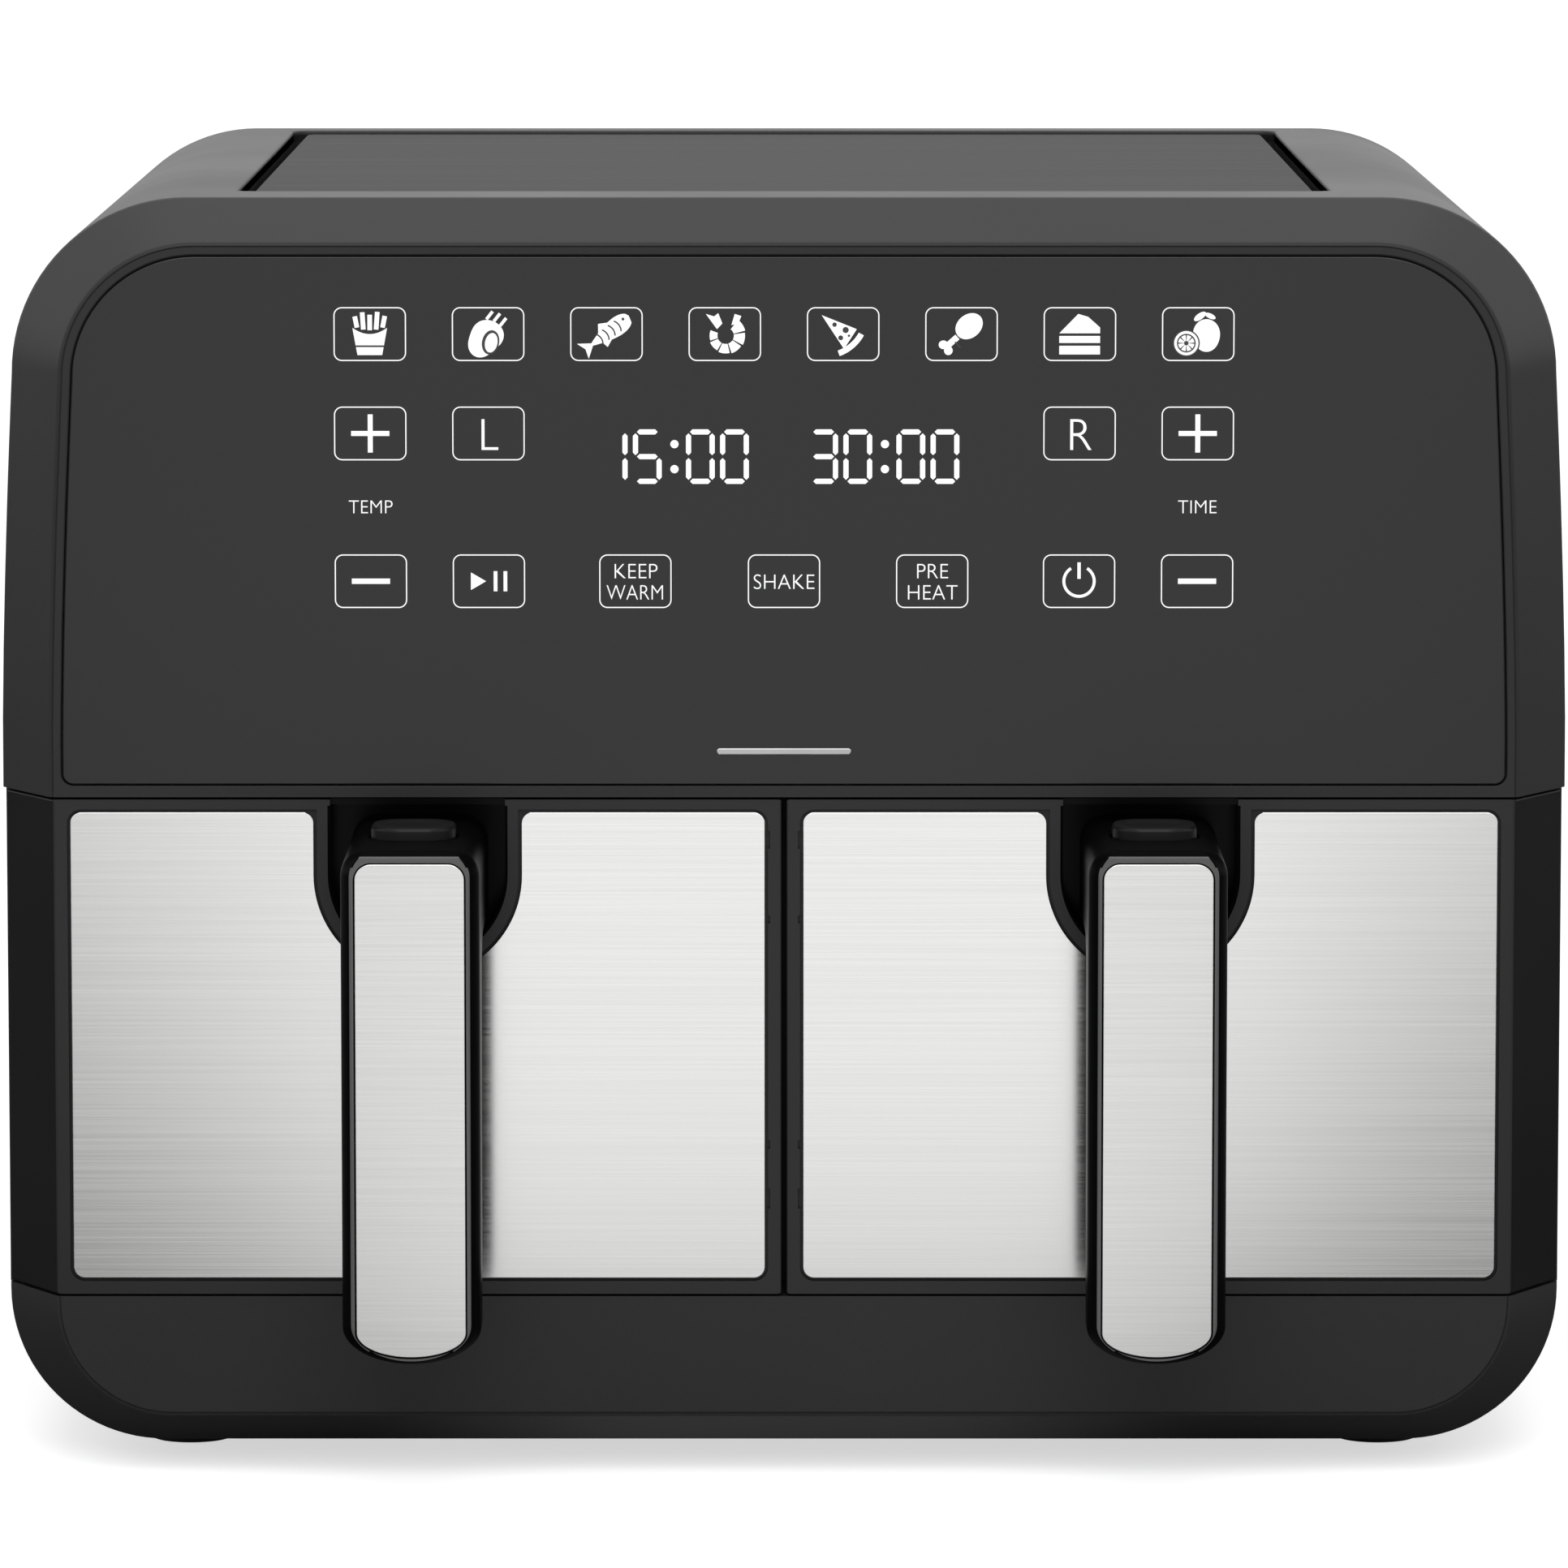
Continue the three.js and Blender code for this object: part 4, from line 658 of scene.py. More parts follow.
def satin_abs():
    """Satin ABS: the drawer fronts' smoother moulding, with soft wide highlights."""
    material, tree, shader, where = start("satin ABS moulding", IOR=1.33)
    base = list(bpy.context.scene.fryer_finish.drawer)
    slow = mottled(tree, shader, where, base, 0.05, 12.0)
    varied_roughness(tree, shader, slow.outputs["Fac"], 0.34, 0.42)
    grained(tree, shader, where, 3000.0, 0.00002, 0.4)
    return material


def polished_abs():
    """Polished ABS: deep black with sharp reflections and the faintest flow marks."""
    material, tree, shader, where = start("polished ABS moulding", Specular_IOR_Level=0.08)
    base = list(bpy.context.scene.fryer_finish.gloss)
    slow = mottled(tree, shader, where, base, 0.05, 20.0)
    varied_roughness(tree, shader, slow.outputs["Fac"], 0.16, 0.22)
    return material


def stippled(name, code, level):
    """A moulded or soft-coated surface: wide highlights, as strong as the level given, and a stipple."""
    material, tree, shader, where = start(name, Specular_IOR_Level=level)
    slow = mottled(tree, shader, where, linear(code)[:3], 0.05, 18.0)
    varied_roughness(tree, shader, slow.outputs["Fac"], 0.30, 0.36)
    grained(tree, shader, where, 3000.0, 0.00001, 0.3)
    return material


def smoked_acrylic():
    """Smoked acrylic: a flat glossy sheet, nearly free of texture, with faint wipe marks in its gloss."""
    material, tree, shader, where = start("smoked acrylic sheet", IOR=1.40)
    base = list(bpy.context.scene.fryer_finish.panel)
    slow = mottled(tree, shader, where, base, 0.02, 5.0)
    varied_roughness(tree, shader, slow.outputs["Fac"], 0.14, 0.17)
    return material


def satin_plate():
    """Satin-coated plate: fine streaks across the width from rolling, under a smooth coat."""
    material, tree, shader, where = start("satin coated plate", IOR=1.15)
    base = list(bpy.context.scene.fryer_finish.top)
    streak = add(tree, "ShaderNodeMapping", values={"Scale": (3.0, 900.0, 3.0)}, links={"Vector": where})
    slow = mottled(tree, shader, streak.outputs["Vector"], base, 0.08, 1.0)
    varied_roughness(tree, shader, slow.outputs["Fac"], 0.44, 0.52)
    return material


def brushed(name, code_colour, roughness, stretch):
    """Brushed stainless steel: fine scratches across the width, about 0.3 mm apart so that they show.

    They widen the highlight upwards and downwards, and give a streaky silver surface.
    """
    material, tree, shader, where = start(name, Metallic=1.0, Anisotropic=0.95)
    base = list(code_colour)
    streak = add(tree, "ShaderNodeMapping", values={"Scale": stretch}, links={"Vector": where})
    fine = mottled(tree, shader, streak.outputs["Vector"], base, 0.035, 1.0)
    fine.inputs["Detail"].default_value = 6.0
    varied_roughness(tree, shader, fine.outputs["Fac"], roughness - 0.03, roughness + 0.03)
    bump = add(
        tree,
        "ShaderNodeBump",
        values={"Strength": 0.18, "Distance": 0.000012},
        links={"Height": fine.outputs["Fac"]},
    )
    tree.links.new(bump.outputs["Normal"], shader.inputs["Normal"])
    tangent = add(tree, "ShaderNodeTangent", {"direction_type": "UV_MAP", "uv_map": "brushing"})
    tree.links.new(tangent.outputs["Tangent"], shader.inputs["Tangent"])
    return material


def backlit_print():
    """Backlit symbols: clear ink on the acrylic with white light behind it."""
    light = [*bpy.context.scene.fryer_finish.light, 1.0]
    material, _, shader, _ = start("backlit symbols", Base_Color=(0.1, 0.1, 0.1, 1.0), Roughness=0.4)
    shader.inputs["Emission Color"].default_value = light
    shader.inputs["Emission Strength"].default_value = 0.95
    return material


def plain(name, code, roughness, metallic=0.0, ior=1.5, grain=0.0, height=0.0, spread=0.06, scale=40.0):
    """A simple finish: a colour and a roughness that drift a little, with an optional grain."""
    values = {"Metallic": metallic} if metallic else {"IOR": ior}
    material, tree, shader, where = start(name, **values)
    slow = mottled(tree, shader, where, linear(code)[:3], spread, scale)
    varied_roughness(tree, shader, slow.outputs["Fac"], roughness * 0.88, roughness * 1.12)
    if grain:
        grained(tree, shader, where, grain, height, 0.5)
    return material


MADE = {}


def material(key):
    """Each material is made once, when it is first asked for."""
    makers = {
        "shell": textured_abs,
        "drawer": satin_abs,
        "gloss": polished_abs,
        # Soft-touch coat: nearly black, with hardly any highlight.
        "grip": lambda: stippled("soft-touch grip", "080809", 0.02),
        # The handle's front edge: a paler grey painted on its flat faces as a highlight, a thin line round
        # the inlay.
        "rim": lambda: stippled("painted highlight rim", "555556", 0.40),
        # The drawer front's sides: moulded smoother than its face, and painted darker as shade.
        "flank": lambda: stippled("painted shade flank", "1b1b1c", 0.12),
        # The buttons: dark, with a soft highlight that shows their dish.
        "button": lambda: stippled("moulded button", "151516", 0.20),
        "panel": smoked_acrylic,
        "top": satin_plate,
        "steel": lambda: brushed(
            "brushed stainless plate", bpy.context.scene.fryer_finish.steel, 0.19, (9.0, 9.0, 3600.0)
        ),
        "inlay": lambda: brushed(
            "brushed stainless inlay", bpy.context.scene.fryer_finish.inlay, 0.19, (16.0, 16.0, 3000.0)
        ),
        "print": backlit_print,
        # Silk-screened black ink: the dark lines within the symbols.
        "ink": lambda: plain("black ink", "39393a", 0.3),
        # PTFE coating: soft dark sheen with a fine stipple.
        "coating": lambda: plain("non-stick coating", "2c2c2e", 0.38, 0.0, 1.35, 1600.0, 0.00004),
        # Aluminised sheet: dull silver with cloudy spangle.
        "chamber": lambda: plain("aluminised sheet", "a9abac", 0.36, 1.0, spread=0.10, scale=60.0),
        # Steel sheath darkened by heat.
        "heater": lambda: plain("heat-darkened sheath", "5a5551", 0.48, 1.0, spread=0.18, scale=90.0),
        # Bright stamped aluminium.
        "fan": lambda: plain("stamped aluminium", "babdc0", 0.34, 1.0),
        # Bright drawn wire and rod.
        "bright": lambda: plain("bright drawn wire", "c4c4c4", 0.2, 1.0),
        # Zinc-plated laminations and can.
        "motor": lambda: plain("zinc-plated can", "8c8f93", 0.42, 1.0, spread=0.12),
        # Glass-fibre board under a green solder mask.
        "board": lambda: plain("solder-masked board", "1f4d2e", 0.35, spread=0.12, scale=120.0),
        # Dark filter over the figures.
        "display": lambda: plain("dark display filter", "15171a", 0.16),
        # Thermoplastic rubber: dull and slightly dusty.
        "rubber": lambda: plain("moulded rubber", "1b1b1c", 0.8, 0.0, 1.52, 1500.0, 0.00005),
        # Silicone: soft grey sheen.
        "silicone": lambda: plain("moulded silicone", "3d3d3f", 0.6, 0.0, 1.43),
        # Blackened screws.
        "fastener": lambda: plain("blackened steel", "333436", 0.4, 1.0),
        # Polished trim.
        "trim": lambda: plain("polished trim", "b9b9b9", 0.22, 1.0),
    }
    if key not in MADE:
        MADE[key] = makers[key]()
    return MADE[key]


def add_brushing(mesh):
    """A UV map whose first axis runs up, across the brushing, the way that its scratches scatter light."""
    loops = np.empty(len(mesh.loops), np.int32)
    mesh.loops.foreach_get("vertex_index", loops)
    points = np.empty(len(mesh.vertices) * 3, np.float32)
    mesh.vertices.foreach_get("co", points)
    chosen = points.reshape(-1, 3)[loops][:, [2, 0]] * 4
    mesh.uv_layers.new(name="brushing").data.foreach_set("uv", chosen.ravel().astype(np.float32))


# ---------------------------------------------------------------- shells


def air_slot(sign, place, steps):
    """An air slot's outline, centred across one cooking space."""
    x = sign * COOKING_X
    return rounded(
        x - SLOT_HALF, x + SLOT_HALF, place - SLOT_RISE, place + SLOT_RISE, SLOT_RADIUS, steps
    )


def rear_seat_cutters():
    """The rear cover's rebate and the opening inside it."""
    wall_back = BACK_Y - 0.0033
    x, low, high = COVER[1][0] + COVER_GAP, COVER[0][2] - COVER_GAP, COVER[1][2] + COVER_GAP
    seat = rounded(-x, x, low, high, 0.010)
    edge = COVER_LEDGE
    ledge = rounded(-x + edge, x - edge, low + edge, high - edge, 0.0075)
    return [
        along_y([(wall_back, seat), (BACK_Y + PLAY, seat)]),
        along_y([(BACK_Y - 0.0065, ledge), (BACK_Y, ledge)]),
    ]


class AIRFRYER_OT_upper_shell(bpy.types.Operator):
    """Makes the upper shell: a tapered nose with the panel's seat, and a recess in the top."""

    bl_idname = "airfryer.upper_shell"
    bl_label = "Upper shell"

    def execute(self, context):
        s, p = context.scene.fryer_shell, context.scene.fryer_panel
        rim = FACE_Y + s.nose_depth

        def section(side, top):
            return upper_outline(side, top, s.top_radius - top)

        outside = along_y(
            nose_stations(s.nose_side, s.nose_edge, section, FACE_Y, rim, s.edge)
            + back_stations(section, BACK_Y, s.back_chamfer)
        )
        floor = SEAM_Z + SHELL_WALL
        inner_y = PANEL[1][1] + PANEL_BACKING
        taper = (rim - inner_y) / s.nose_depth
        side, top = s.nose_side * taper + s.skin, s.nose_edge * taper + s.skin
        nose_hollow = along_y(
            [
                (inner_y, upper_outline(side, top, s.top_radius - top, floor)),
                (rim + NOSE_OVERLAP, upper_outline(s.skin, s.skin, s.top_radius - s.skin, floor)),
            ]
        )
        inside = upper_outline(s.skin, s.skin, s.top_radius - s.skin, SEAM_Z - PLAY)
        hollow = along_y([(rim + SHELL_WALL, inside), (BACK_Y - BACK_WALL, inside)])
        x, y0, y1 = RECESS_HALF, rim + RECESS_FRONT, BACK_Y - RECESS_BACK
        tub = box_surface(
            -x - 0.0025, x + 0.0025, y0 - 0.0025, y1 + 0.0025, TOP_Z - 0.0115, TOP_Z - 0.001
        )

        def recess(grow):
            return rounded(-x - grow, x + grow, y0 - grow, y1 + grow, 0.004 + grow)

        recess_cut = along_z(
            [
                (TOP_Z - 0.009, recess(0)),
                (TOP_Z - 0.0008, recess(0)),
                (TOP_Z - 0.0003, recess(0.0002)),
                (TOP_Z, recess(0.0008)),
                (TOP_Z + PLAY, recess(0.0018)),
            ]
        )
        slots = []
        for sign in (-1, 1):
            for y in np.linspace(y0, y1, 8)[1:-1]:
                slot = rounded(
                    sign * 0.095 - 0.027, sign * 0.095 + 0.027, y - 0.0025, y + 0.0025, 0.0024, 4
                )
                slots.append(along_z([(TOP_Z - 0.0125, slot), (TOP_Z - 0.005, slot)]))
        seat_back = PANEL[1][1] + 0.0003
        seat = along_y(
            [
                (FACE_Y - PLAY, panel_outline(p.gap + 0.0013)),
                (FACE_Y, panel_outline(p.gap + 0.0003)),
                (FACE_Y + 0.0003, panel_outline(p.gap)),
                (seat_back, panel_outline(p.gap)),
            ]
        )
        line = [
            upper_outline(s.nose_side + e, s.nose_edge + e, s.top_radius - s.nose_edge - e, SEAM_Z - PLAY)
            for e in CREASE
        ]
        groove = ring_sheet(*line, FACE_Y - PLAY, FACE_Y + CREASE_DEPTH)
        wx = HALF - s.nose_side - p.margin - p.window
        window = rounded(
            -wx, wx, SEAM_Z + p.window, TOP_Z - s.nose_edge - p.window, p.foot_radius
        )
        window_cut = along_y([(FACE_Y, window), (inner_y + PLAY, window)])
        made = carved(
            "upper_shell",
            outside,
            cuts=[nose_hollow, hollow, recess_cut, *slots, seat, groove, window_cut, *rear_seat_cutters()],
        )
        floor_made = carved("recess_tub", tub, cuts=[recess_cut, *slots])
        finished(made, "body", "shell", material("shell"), replaces=["upper_housing"])
        finished(floor_made, "body", "shell", material("shell"))
        return {"FINISHED"}


class AIRFRYER_OT_lower_shells(bpy.types.Operator):
    """Makes the middle shell round the drawers and the base with its tapered nose."""

    bl_idname = "airfryer.lower_shells"
    bl_label = "Middle shell and base"

    def execute(self, context):
        s = context.scene.fryer_shell
        rim = FACE_Y + s.nose_depth
        low, high = span("lower_housing")[0][2], span("lower_housing")[1][2]
        c = s.back_chamfer
        outline = np.array(
            [
                [LOWER_HALF, rim],
                [LOWER_HALF, BACK_Y - c],
                [LOWER_HALF - c, BACK_Y],
                [c - LOWER_HALF, BACK_Y],
                [-LOWER_HALF, BACK_Y - c],
                [-LOWER_HALF, rim],
            ]
        )
        body = along_z([(low, outline), (high, outline)])
        inner = LOWER_HALF - SHELL_WALL
        hollow = box_surface(
            -inner, inner, rim + SHELL_WALL, BACK_Y - BACK_WALL, low - PLAY, high + PLAY
        )
        bays = []
        for sign in (-1, 1):
            a, b = sorted([sign * 0.009, sign * (LOWER_HALF - 0.0085)])
            bay = rounded(a, b, BASE_TOP + 0.006, SEAM_Z - 0.004, 0.005, 8)
            bays.append(along_y([(rim - PLAY, bay), (rim + NOSE_OVERLAP, bay)]))
        middle = carved("middle_shell", body, cuts=[hollow, *bays, *rear_seat_cutters()])
        finished(middle, "body", "shell", material("shell"), replaces=["lower_housing"])

        def section(side, bottom):
            return base_outline(side, bottom, s.base_radius - bottom)

        outside = along_y(
            nose_stations(s.nose_side, s.nose_edge, section, FACE_Y, rim, s.edge)
            + back_stations(section, BACK_Y, s.back_chamfer)
        )
        front = FACE_Y + SHELL_WALL
        taper = (rim - front) / s.nose_depth
        lid = BASE_TOP - SHELL_WALL
        side, bottom = s.nose_side * taper + s.skin, s.nose_edge * taper + s.skin
        nose_hollow = along_y(
            [
                (front, base_outline(side, bottom, s.base_radius - bottom, lid)),
                (rim + NOSE_OVERLAP, base_outline(s.skin, s.skin, s.base_radius - s.skin, lid)),
            ]
        )
        inside = base_outline(s.skin, s.skin, s.base_radius - s.skin, BASE_TOP + PLAY)
        hollow = along_y([(rim + SHELL_WALL, inside), (BACK_Y - SHELL_WALL, inside)])
        vents = []
        for sign in (-1, 1):
            for i in range(SLOTS):
                y = COOKING_Y + (i - SLOTS // 2) * VENT_PITCH
                slot = air_slot(sign, y, 4)
                vents.append(along_z([(0.0, slot), (0.010, slot)]))
        line = [
            base_outline(
                s.nose_side + e, s.nose_edge + e, s.base_radius - s.nose_edge - e, BASE_TOP + PLAY
            )
            for e in CREASE
        ]
        groove = ring_sheet(*line, FACE_Y - PLAY, FACE_Y + CREASE_DEPTH)
        shell = carved("base_shell", outside, cuts=[nose_hollow, hollow, groove, *vents])
        finished(shell, "body", "shell", material("shell"), replaces=["base"])
        return {"FINISHED"}


class AIRFRYER_OT_rear(bpy.types.Operator):
    """Makes the rear cover with its air outlets, the screws and the cord's gland."""

    bl_idname = "airfryer.rear"
    bl_label = "Rear cover"

    def execute(self, context):
        x, low, high = COVER[1][0], COVER[0][2], COVER[1][2]

        def outline(grow):
            return rounded(-x - grow, x + grow, low - grow, high + grow, 0.0096 + grow)

        plate = along_y(softened(COVER[0][1], COVER[1][1], outline, 0.0006))
        cuts = []
        outlet = SEAM_Z + 0.019
        for sign in (-1, 1):
            for i in range(SLOTS):
                z = outlet + (i - SLOTS // 2) * OUTLET_PITCH
                slot = air_slot(sign, z, 5)
                cuts.append(along_y([(COVER[0][1] - PLAY, slot), (COVER[1][1] + PLAY, slot)]))
        gland_low, gland_high = span("cord_gland")
        gx, gz = (gland_low[0] + gland_high[0]) / 2, (gland_low[2] + gland_high[2]) / 2
        hole = [(0.0068, COVER[0][1] - PLAY), (0.0068, COVER[1][1] + PLAY)]
        cuts.append(turned_y(hole, gx, gz))
        for name in ("lower_left", "upper_left", "lower_right", "upper_right"):
            a, b = span(f"cover_screw_{name}")
            sx, sz = (a[0] + b[0]) / 2, (a[2] + b[2]) / 2
            cuts.append(
                turned_y([(0.0018, COVER[0][1] - PLAY), (0.0018, COVER[1][1] + PLAY)], sx, sz, 20)
            )
            top, seat = b[1], BACK_Y + 0.0003
            head = turned_y(
                [
                    (0.0012, a[1]),
                    (0.0015, a[1] + 0.001),
                    (0.0015, seat),
                    (0.0039, seat),
                    (0.0040, seat + 0.0002),
                    (0.0038, top - 0.0006),
                    (0.0030, top - 0.0001),
                    (0.0024, top),
                ],
                sx,
                sz,
            )
            r, w = 0.0024, 0.0005
            cross = [
                box_surface(sx - r, sx + r, top - 0.0008, top + PLAY, sz - w, sz + w),
                box_surface(sx - w, sx + w, top - 0.0008, top + PLAY, sz - r, sz + r),
            ]
            screw = carved(f"rear_screw_{name}", head, cuts=cross)
            finished(
                screw, "body", "fastener", material("fastener"), replaces=[f"cover_screw_{name}"]
            )
        made = carved("rear_panel", plate, cuts=cuts)
        finished(made, "body", "shell", material("shell"), replaces=["rear_cover"])
        end, tail, flange = gland_high[1], gland_low[1], BACK_Y + 0.0003
        bore = 0.0037
        profile = [
            (bore, tail),
            (0.0065, tail),
            (0.0065, flange),
            (0.0083, flange),
            (0.0085, flange + 0.0003),
            (0.0085, flange + 0.0016),
            (0.0082, flange + 0.0020),
            (0.0064, flange + 0.0020),
            (0.0060, flange + 0.0026),
            (0.0063, flange + 0.0032),
            (0.0058, flange + 0.0038),
            (0.0060, end - 0.0003),
            (0.0056, end),
            (bore + 0.0003, end),
            (bore, end - 0.0003),
            (bore, tail),
        ]
        angle = np.linspace(0, 2 * math.pi, 40, endpoint=False)
        loops = [
            np.column_stack([gx + r * np.cos(angle), np.full(40, y), gz + r * np.sin(angle)])
            for r, y in profile
        ]
        gland = Surface().skin(loops, capped=False).object("cord_sleeve")
        merge(gland)
        finished(gland, "body", "rubber", material("rubber"), replaces=["cord_gland"])
        return {"FINISHED"}


def merge(made):
    """Joins the points where a surface closes on itself."""
    work = bmesh.new()
    work.from_mesh(made.data)
    bmesh.ops.remove_doubles(work, verts=work.verts, dist=SAME_POINT)
    work.to_mesh(made.data)
    work.free()


class AIRFRYER_OT_top_plate(bpy.types.Operator):
    """Makes the plate that floats in the top's recess, on four pegs."""

    bl_idname = "airfryer.top_plate"
    bl_label = "Top plate"

    def execute(self, context):
        (x0, y0, z0), (x1, y1, z1) = TOP_PLATE

        def outline(grow):
            return rounded(x0 - grow, x1 + grow, y0 - grow, y1 + grow, 0.003 + grow)

        plate = along_z(softened(z1 - 0.003, z1, outline, 0.0006))
        pegs = [
            turned([(0.004, z0), (0.004, z1 - 0.002)], x, y, 24)
            for x in (x0 + 0.012, x1 - 0.012)
            for y in (y0 + 0.012, y1 - 0.012)
        ]
        made = carved("floating_plate", plate, joins=pegs)
        finished(made, "body", "top", material("top"), replaces=["top_plate"])
        return {"FINISHED"}


class AIRFRYER_OT_panel(bpy.types.Operator):
    """Makes the glossy control panel and the slim trim bar on it."""

    bl_idname = "airfryer.panel"
    bl_label = "Control panel"

    def execute(self, context):
        made = along_y(softened(PANEL[0][1], PANEL[1][1], panel_outline, 0.0003)).object("touch_panel")
        finished(made, "body", "panel", material("panel"), replaces=["control_panel"])

        def pill(grow):
            return rounded(
                -0.0165 - grow, 0.0165 + grow, 0.1787 - grow, 0.1803 + grow, 0.00079 + grow, 8
            )

        bar = along_y(softened(FACE_Y - 0.0004, FACE_Y, pill, 0.0003)).object("trim_bar")
        finished(bar, "body", "bright", material("trim"))
        return {"FINISHED"}


# ---------------------------------------------------------------- drawers, right-hand pattern


def pocket_outline(half, top):
    """The pocket's outline: straight sides and a half-round lower end."""
    d = bpy.context.scene.fryer_drawer
    centre = FRONT[1][2] - d.pocket_straight
    return np.vstack(
        [
            [[FACE_CENTRE + half, top], [FACE_CENTRE - half, top]],
            arc(FACE_CENTRE, centre, half, half, 2, 4, 40),
        ]
    )


def plate_outline(grow):
    """The steel plate's outer outline, grown by a margin."""
    r = bpy.context.scene.fryer_drawer.plate_radius + grow
    return rounded(PLATE[0][0] - grow, PLATE[1][0] + grow, PLATE[0][2] - grow, PLATE[1][2] + grow, r)


def bar_outline(half, low, high, corner, rise):
    """An upright bar's outline: rounded upper corners and a shallow arch at the lower end."""
    return np.vstack(
        [
            arc(FACE_CENTRE, low + rise, half, rise, 2, 4, 36),
            arc(FACE_CENTRE + half - corner, high - corner, corner, corner, 0, 1, 12),
            arc(FACE_CENTRE - half + corner, high - corner, corner, corner, 1, 2, 12),
        ]
    )


def inlay_outline(grow):
    """The inlay's outline, grown by a margin."""
    half = (INLAY[1][0] - INLAY[0][0]) / 2
    return bar_outline(half + grow, INLAY[0][2] - grow, INLAY[1][2] + grow, 0.004 + grow, 0.006 + grow)


def button_outline(grow):
    """The release button's outline in x and y, grown by a margin."""
    (x0, y0, _), (x1, y1, _) = BUTTON
    return rounded(x0 - grow, x1 + grow, y0 - grow, y1 + grow, 0.0075 + grow)


class AIRFRYER_OT_drawer_fronts(bpy.types.Operator):
    """Makes the drawer fronts: a satin frame, a seat for the plate and a polished finger pocket."""

    bl_idname = "airfryer.drawer_fronts"
    bl_label = "Drawer fronts"

    def execute(self, context):
        s, d = context.scene.fryer_shell, context.scene.fryer_drawer
        low, high = FRONT[0][2], FRONT[1][2]
        inner = FRONT[0][0]
        rim = FACE_Y + s.nose_depth
        back = rim - 0.0006
        slope = s.nose_side / s.nose_depth

        def side(y):
            return FACE_OUTER + slope * (y - FACE_Y)

        def plan(grow, r=0.0006):
            return np.array(
                [
                    [inner - grow + r, FACE_Y],
                    [FACE_OUTER + grow - r * 0.8, FACE_Y],
                    [FACE_OUTER + grow + r * 0.1, FACE_Y + 0.0002],
                    [FACE_OUTER + grow + r * 0.9, FACE_Y + r * 1.3],
                    [side(back) + grow, back],
                    [inner - grow, back],
                    [inner - grow, FACE_Y + r],
                    [inner - grow + r * 0.3, FACE_Y + r * 0.3],
                ]
            )

        outside = along_z(softened(low, high, plan, 0.0005))
        t = SHELL_WALL
        hollow_plan = np.array(
            [
                [inner + t, FACE_Y + FRONT_WALL],
                [side(FACE_Y + FRONT_WALL) - t, FACE_Y + FRONT_WALL],
                [side(back + PLAY) - t, back + PLAY],
                [inner + t, back + PLAY],
            ]
        )
        hollow = along_z([(low + t, hollow_plan), (high - t, hollow_plan)])
        pocket_back = FACE_Y + d.pocket_depth
        half = d.pocket_half

        def straight(outline, y0, y1):
            return along_y([(y0, outline), (y1, outline)])

        lining = straight(pocket_outline(half + t, high - 0.0006), FACE_Y + 0.0006, pocket_back + t)
        ring = straight(
            pocket_outline(half + d.pocket_ring - d.plate_gap, high - 0.0006), FACE_Y, FACE_Y + FRONT_WALL
        )
        roof = high - d.pocket_roof
        pocket = straight(pocket_outline(half, roof), FACE_Y - PLAY, pocket_back)
        flare = along_y(
            [
                (FACE_Y - PLAY, pocket_outline(half + 0.0016, roof)),
                (FACE_Y, pocket_outline(half + 0.0006, roof)),
                (FACE_Y + 0.0006, pocket_outline(half, roof)),
            ]
        )
        mouth = straight(pocket_outline(half, high + PLAY), FACE_Y - PLAY, FACE_Y + 0.003)
        seat = straight(plate_outline(d.plate_gap), FACE_Y - PLAY, PLATE[1][1] + 0.0003)
        edge = PLATE[0][0]
        notches = [
            box_surface(
                edge - d.plate_gap - NOTCH_REACH,
                edge,
                FACE_Y - PLAY,
                FACE_Y + NOTCH_DEPTH,
                PLATE[1][2] - fall - tall,
                PLATE[1][2] - fall,
            )
            for fall, tall in NOTCHES
        ]
        x = BRACKET_HALF
        mount = box_surface(
            FACE_CENTRE - x, FACE_CENTRE + x, FACE_Y + 0.0022, FRONT[1][1], BRACKET_LOW, BRACKET_HIGH
        )

        def build(name, sign):
            body = carved(
                f"{name}_front_frame",
                sided(outside, sign),
                cuts=[sided(c, sign) for c in (hollow, seat, *notches)],
            )
            solid = Surface().add(*mesh_arrays(body))
            bpy.data.objects.remove(body)
            made = carved(
                f"{name}_front_frame",
                solid,
                joins=[sided(c, sign) for c in (lining, ring, mount)],
                cuts=[sided(c, sign) for c in (pocket, flare, mouth)],
            )
            finished(
                made,
                f"{name}_drawer",
                "drawer",
                material("drawer"),
                material("gloss"),
                material("flank"),
                replaces=[f"{name}_drawer_front"],
            )
            gloss_inside_pocket(made.data, sign * FACE_CENTRE, half + 0.0009, pocket_back)
            paint_flank_shade(made.data)

        both_sides(build)
        return {"FINISHED"}


def mesh_arrays(made):
    """An object's vertices and faces."""
    mesh = made.data
    points = np.empty(len(mesh.vertices) * 3)
    mesh.vertices.foreach_get("co", points)
    return points.reshape(-1, 3), [tuple(p.vertices) for p in mesh.polygons]


def gloss_inside_pocket(mesh, x, half, back):
    """Gives the second material to the faces whose centres lie within the pocket."""
    centre = np.empty(len(mesh.polygons) * 3)
    mesh.polygons.foreach_get("center", centre)
    c = centre.reshape(-1, 3)
    inside = (abs(c[:, 0] - x) < half) & (c[:, 1] > FACE_Y + 1e-5) & (c[:, 1] < back + 1e-4)
    inside &= (c[:, 2] > POCKET_LOW) & (c[:, 2] < FRONT[1][2] - 0.0004)
    mesh.polygons.foreach_set("material_index", inside.astype(np.int32))


